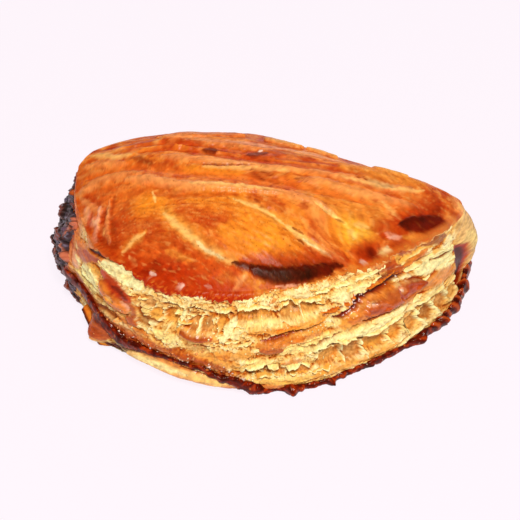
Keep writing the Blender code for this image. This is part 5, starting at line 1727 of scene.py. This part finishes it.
CAMERA_RISE, CAMERA_AWAY, CAMERA_LENS = 42.0, 0.495, 98.0  # degrees, metres, millimetres
CAMERA_SENSOR, CAMERA_NEAREST = 36.0, 0.01
CAMERA_AIM = (-PLAN_MIDDLE[0] * MM, (2 - PLAN_MIDDLE[1]) * MM, 0.021)
LAMPS = (
    # name, azimuth, elevation, distance, width, height, watts, colour
    ("key_light", -80, 60, 1.1, 0.28, 0.28, 11.0, (1.0, 0.97, 0.93)),
    ("back_light", 85, 26, 1.2, 1.0, 0.3, 2.2, (1.0, 0.94, 0.96)),
)
SKY_STRENGTH = 0.22
SKY_COLOUR = (1.0, 0.88, 0.72, 1)
FLOOR_GLOW = 0.92
FLOOR_DEPTH = 0.08
FLOOR_REACH = 12.0
LAMP_TARGET = (0, 0, 0.02)


def aim(thing, target):
    """Turns a lamp or camera so that its -Z axis points at the target."""
    way = mathutils.Vector(target) - thing.location
    thing.rotation_euler = way.to_track_quat("-Z", "Y").to_euler()


def add_camera(scene):
    """The camera, in front and above."""
    camera = bpy.data.objects.new("camera", bpy.data.cameras.new("camera"))
    camera.data.lens = CAMERA_LENS
    camera.data.sensor_width = CAMERA_SENSOR
    camera.data.clip_start = CAMERA_NEAREST
    rise = math.radians(CAMERA_RISE)
    back = mathutils.Vector((0, -math.cos(rise), math.sin(rise)))
    camera.location = mathutils.Vector(CAMERA_AIM) + back * CAMERA_AWAY
    aim(camera, CAMERA_AIM)
    scene.collection.objects.link(camera)
    scene.camera = camera


def add_lights(scene):
    """The lamps round the turnover and the even light of the studio."""
    for name, azimuth, elevation, distance, width, height, watts, colour in LAMPS:
        lamp = bpy.data.lights.new(name, "AREA")
        lamp.shape = "RECTANGLE"
        lamp.size, lamp.size_y = width, height
        lamp.energy = watts
        lamp.color = colour
        thing = bpy.data.objects.new(name, lamp)
        a, e = math.radians(azimuth), math.radians(elevation)
        flat = distance * math.cos(e)
        thing.location = (flat * math.cos(a), flat * math.sin(a), distance * math.sin(e))
        aim(thing, LAMP_TARGET)
        scene.collection.objects.link(thing)
    world = bpy.data.worlds.new("studio")
    world.use_nodes = True
    sky = world.node_tree.nodes["Background"]
    sky.inputs["Color"].default_value = SKY_COLOUR
    sky.inputs["Strength"].default_value = SKY_STRENGTH
    scene.world = world


def add_floor(scene):
    """Pale paper that glows a little, so that it stays bright and still takes a soft shadow."""
    mesh = bpy.data.meshes.new("floor")
    far = FLOOR_REACH
    mesh.from_pydata([(-far, -far, 0), (far, -far, 0), (far, far, 0), (-far, far, 0)], [], [(0, 1, 2, 3)])
    floor = bpy.data.objects.new("floor", mesh)
    paper = bpy.data.materials.new("floor")
    paper.use_nodes = True
    shader = paper.node_tree.nodes["Principled BSDF"]
    tint = np.array(scene.turnover_colours.floor)
    shader.inputs["Base Color"].default_value = (*(tint * FLOOR_DEPTH), 1)
    shader.inputs["Emission Color"].default_value = (*tint, 1)
    shader.inputs["Emission Strength"].default_value = FLOOR_GLOW
    shader.inputs["Roughness"].default_value = 1.0
    shader.inputs["Specular IOR Level"].default_value = 0.0
    mesh.materials.append(paper)
    scene.collection.objects.link(floor)


class TURNOVER_OT_stage(bpy.types.Operator):
    """Make the camera, the lights and the floor"""

    bl_idname = "turnover.stage"
    bl_label = "Stage"

    def execute(self, context):
        add_camera(context.scene)
        add_lights(context.scene)
        add_floor(context.scene)
        context.scene.view_settings.view_transform = "Standard"
        return {"FINISHED"}


OPERATORS = (
    TURNOVER_OT_lid,
    TURNOVER_OT_wall,
    TURNOVER_OT_leaves,
    TURNOVER_OT_syrup,
    TURNOVER_OT_crumbs,
    TURNOVER_OT_stage,
)


class TURNOVER_PT_panel(bpy.types.Panel):
    """The turnover's pieces and settings"""

    bl_idname = "TURNOVER_PT_panel"
    bl_label = "Apple turnover"
    bl_space_type = "VIEW_3D"
    bl_region_type = "UI"
    bl_category = "Turnover"

    def draw(self, context):
        for group in (context.scene.turnover_sizes, context.scene.turnover_colours):
            for key in group.__annotations__:
                self.layout.prop(group, key)
        for operator in OPERATORS:
            self.layout.operator(operator.bl_idname)


CLASSES = (TurnoverSizes, TurnoverColours, *OPERATORS, TURNOVER_PT_panel)


def register():
    for kind in CLASSES:
        bpy.utils.register_class(kind)
    bpy.types.Scene.turnover_sizes = bpy.props.PointerProperty(type=TurnoverSizes)
    bpy.types.Scene.turnover_colours = bpy.props.PointerProperty(type=TurnoverColours)


def unregister():
    del bpy.types.Scene.turnover_colours
    del bpy.types.Scene.turnover_sizes
    for kind in reversed(CLASSES):
        bpy.utils.unregister_class(kind)


def main():
    """Makes every piece and the stage."""
    register()
    for operator in OPERATORS:
        group, name = operator.bl_idname.split(".")
        getattr(getattr(bpy.ops, group), name)()


if __name__ == "__main__":
    main()
